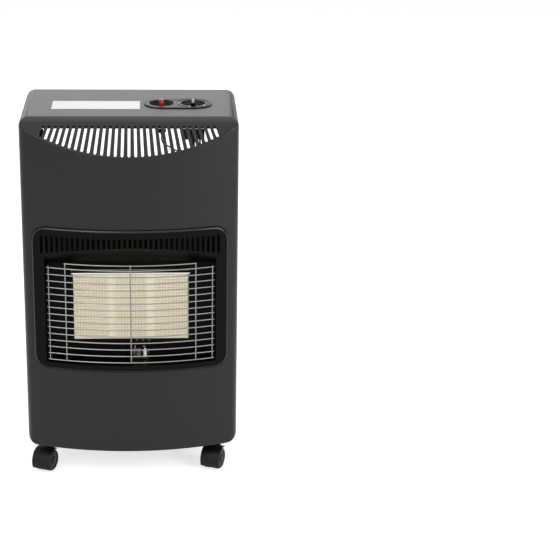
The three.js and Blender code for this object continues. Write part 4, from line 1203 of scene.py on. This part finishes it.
@dataclass
class Fasteners:
    """The screws and rivets that hold the sheets together."""

    shop: Workshop
    screw: float = 3.6
    rear_inset: float = 9 * MM
    rear_heights: tuple[float, ...] = (0.11, 0.3, 0.5, 0.62, 0.71)
    rivet: float = 1.7
    rivet_inset: float = 2.6 * MM
    socket_plate: float = 2.5 * MM

    def build(self) -> None:
        """Makes every screw and rivet."""
        self.rear_screws()
        self.under_rivets()

    def pan_head(self, mesh: Mesh, spot: Vector, out: Vector, radius: float) -> None:
        """Adds one domed screw head with a round recess.

        Args:
            mesh: The mesh that gets it.
            spot: Where it sits.
            out: The way that it faces.
            radius: Its radius in millimetres.
        """
        profile = [
            (0, -0.3), (radius, -0.3), (radius, 0.3), (radius * 0.9, 1.0), (radius * 0.66, 1.5),
            (radius * 0.42, 1.65), (radius * 0.3, 0.9), (0, 0.8),
        ]
        turned(mesh, profile, spot, out, 24)

    def rear_screws(self) -> None:
        """Adds the screws down both rear flanges."""
        high = corners("cabinet_shell")[1]
        mesh = bmesh.new()
        for side in (-1, 1):
            for z in self.rear_heights:
                x = side * (high.x - self.rear_inset)
                self.pan_head(mesh, Vector((x, high.y, z)), BACK, self.screw)
        self.shop.finished("rear_screws", mesh, FINISH.zinc, "castor_steel")

    def under_rivets(self) -> None:
        """Adds the rivets of the castor plates under the base."""
        mesh = bmesh.new()
        for place in CASTOR_PLACES:
            low, high = corners(f"castor_socket_{place}")
            middle = over(f"castor_socket_{place}", high.z - self.socket_plate)
            reach = (high.x - low.x) / 2 - self.rivet_inset
            for turn in range(4):
                angle = QUARTER * (turn + 0.5)
                out = Vector((math.cos(angle), math.sin(angle), 0))
                self.pan_head(mesh, middle + out * reach, -UP, self.rivet)
        self.shop.finished("castor_rivets", mesh, FINISH.zinc, "castor_steel")


@dataclass
class PlainNodes:
    """The nodes whose own shapes stay, each given its finish."""

    shop: Workshop
    round_nodes: tuple[str, ...] = (
        "injector_rail", "gas_valve", "gas_inlet_tail", "gas_pipe", "pilot_tube", "ignition_lead",
        "thermocouple_lead", "pilot_bracket", "thermocouple", "spring_collar", "valve_spindle",
        "piezo_body",
    )

    def build(self) -> None:
        """Dresses each node that nothing else replaces."""
        for name, piece in frame["nodes"].items():
            piece.data.materials.clear()
            piece.data.materials.append(finish_of(name).material())
        for name in self.round_nodes:
            self.shop.dressed(name)


@dataclass(frozen=True)
class Lamp:
    """One flat soft light: its name, place, level side, other side and power in watts."""

    name: str
    spot: tuple[float, float, float]
    width: float
    height: float
    power: float


@dataclass
class Studio:
    """The floor, the lights, the white surround and the camera."""

    layout: Layout
    place: tuple[float, float, float] = (0.07114, -3.27899, 0.86437)
    yaw: float = 3.988
    pitch: float = 19.986
    roll: float = 1.088
    focal_pixels: float = 1735.19
    frame_pixels: int = 560
    sensor: float = 36.0
    floor_reach: float = 30.0
    floor_glow: float = 0.68
    world_light: float = 0.35
    aim: tuple[float, float, float] = (0.0, 0.0, 0.4)
    lamps: tuple[Lamp, ...] = (
        Lamp("key_panel", (-1.5, -2.9, 2.6), 2.2, 2.2, 52),
        Lamp("fill_panel", (2.3, -2.1, 1.4), 1.6, 1.6, 48),
        Lamp("top_panel", (0.0, 0.1, 2.65), 1.5, 2.0, 20),
        Lamp("back_panel", (-1.0, 3.2, 1.7), 4.0, 1.5, 24),
    )

    def build(self) -> None:
        """Sets up everything round the object."""
        self.camera()
        self.world()
        self.floor()
        for lamp in self.lamps:
            self.hang(lamp)
        bpy.context.scene.view_settings.view_transform = "Standard"

    def camera(self) -> None:
        """Places the camera where the photograph was taken from."""
        data = bpy.data.cameras.new("camera")
        camera = linked("camera", data)
        data.sensor_width = self.sensor
        data.lens = self.focal_pixels / self.frame_pixels * self.sensor
        yaw, pitch, roll = (math.radians(a) for a in (self.yaw, self.pitch, self.roll))
        forward = Vector(
            (math.sin(yaw) * math.cos(pitch), math.cos(yaw) * math.cos(pitch), -math.sin(pitch))
        )
        right = Vector((math.cos(yaw), -math.sin(yaw), 0))
        up = right.cross(forward)
        across = math.cos(roll) * right + math.sin(roll) * up
        above = math.cos(roll) * up - math.sin(roll) * right
        turn = Matrix((across, above, -forward)).transposed().to_4x4()
        x, y, z = self.place
        spot = Vector((x, y + self.layout.front_line, z + self.layout.top))
        camera.matrix_world = Matrix.Translation(spot) @ turn
        bpy.context.scene.camera = camera

    def by_ray(
        self, tree: bpy.types.NodeTree, light: float, seen: float, *kinds: str
    ) -> bpy.types.NodeSocket:
        """Adds nodes that give one level as light on things and another where rays see it.

        Args:
            tree: The node tree.
            light: The level as light.
            seen: The level that is seen.
            kinds: The outputs of Light Path that count as seeing.

        Returns:
            The socket with the level.
        """
        rays = tree.nodes.new("ShaderNodeLightPath")
        found = rays.outputs[kinds[0]]
        for kind in kinds[1:]:
            either = tree.nodes.new("ShaderNodeMath")
            either.operation = "MAXIMUM"
            tree.links.new(found, either.inputs[0])
            tree.links.new(rays.outputs[kind], either.inputs[1])
            found = either.outputs["Value"]
        level = tree.nodes.new("ShaderNodeMapRange")
        level.inputs["To Min"].default_value = light
        level.inputs["To Max"].default_value = seen
        tree.links.new(found, level.inputs["Value"])
        return level.outputs["Result"]

    def world(self) -> None:
        """Makes a surround that is white to the camera and in reflections, and dim as a lamp."""
        world = bpy.data.worlds.new("surround")
        bpy.context.scene.world = world
        world.use_nodes = True
        tree = world.node_tree
        background = tree.nodes["Background"]
        background.inputs["Color"].default_value = (1, 1, 1, 1)
        kinds = ("Is Camera Ray", "Is Glossy Ray", "Is Transmission Ray")
        level = self.by_ray(tree, self.world_light, 1.0, *kinds)
        tree.links.new(level, background.inputs["Strength"])

    def floor(self) -> None:
        """Lays a white floor that keeps a soft shadow."""
        mesh = bmesh.new()
        bmesh.ops.create_grid(mesh, x_segments=1, y_segments=1, size=self.floor_reach)
        data = bpy.data.meshes.new("floor")
        mesh.to_mesh(data)
        mesh.free()
        floor = linked("floor", data)
        material = bpy.data.materials.new("white_floor")
        material.use_nodes = True
        tree = material.node_tree
        shader = tree.nodes["Principled BSDF"]
        shader.inputs["Base Color"].default_value = (0.8, 0.8, 0.8, 1)
        shader.inputs["Roughness"].default_value = 1
        shader.inputs["Specular IOR Level"].default_value = 0
        shader.inputs["Emission Color"].default_value = (1, 1, 1, 1)
        glow = self.by_ray(tree, 0.0, self.floor_glow, "Is Camera Ray", "Is Glossy Ray")
        tree.links.new(glow, shader.inputs["Emission Strength"])
        data.materials.append(material)

    def hang(self, lamp: Lamp) -> None:
        """Hangs a lamp that points at the heater.

        Args:
            lamp: The lamp.
        """
        data = bpy.data.lights.new(lamp.name, "AREA")
        data.shape = "RECTANGLE"
        data.size = lamp.width
        data.size_y = lamp.height
        data.energy = lamp.power
        spot = Vector(lamp.spot)
        linked(lamp.name, data).matrix_world = aimed(spot, Vector(self.aim) - spot, "-Z")


def main() -> None:
    """Builds the dressed heater and its studio."""
    logging.basicConfig(level=logging.INFO, format="%(name)s: %(message)s")
    shop = Workshop()
    layout = Layout()
    PlainNodes(shop).build()
    Casing(shop, layout).build()
    Guard(shop, layout).build()
    Plaques(shop).build()
    Pilot(shop).build()
    Controls(shop).build()
    Castors(shop).build()
    Fasteners(shop).build()
    Studio(layout).build()


if __name__ == "__main__":
    main()
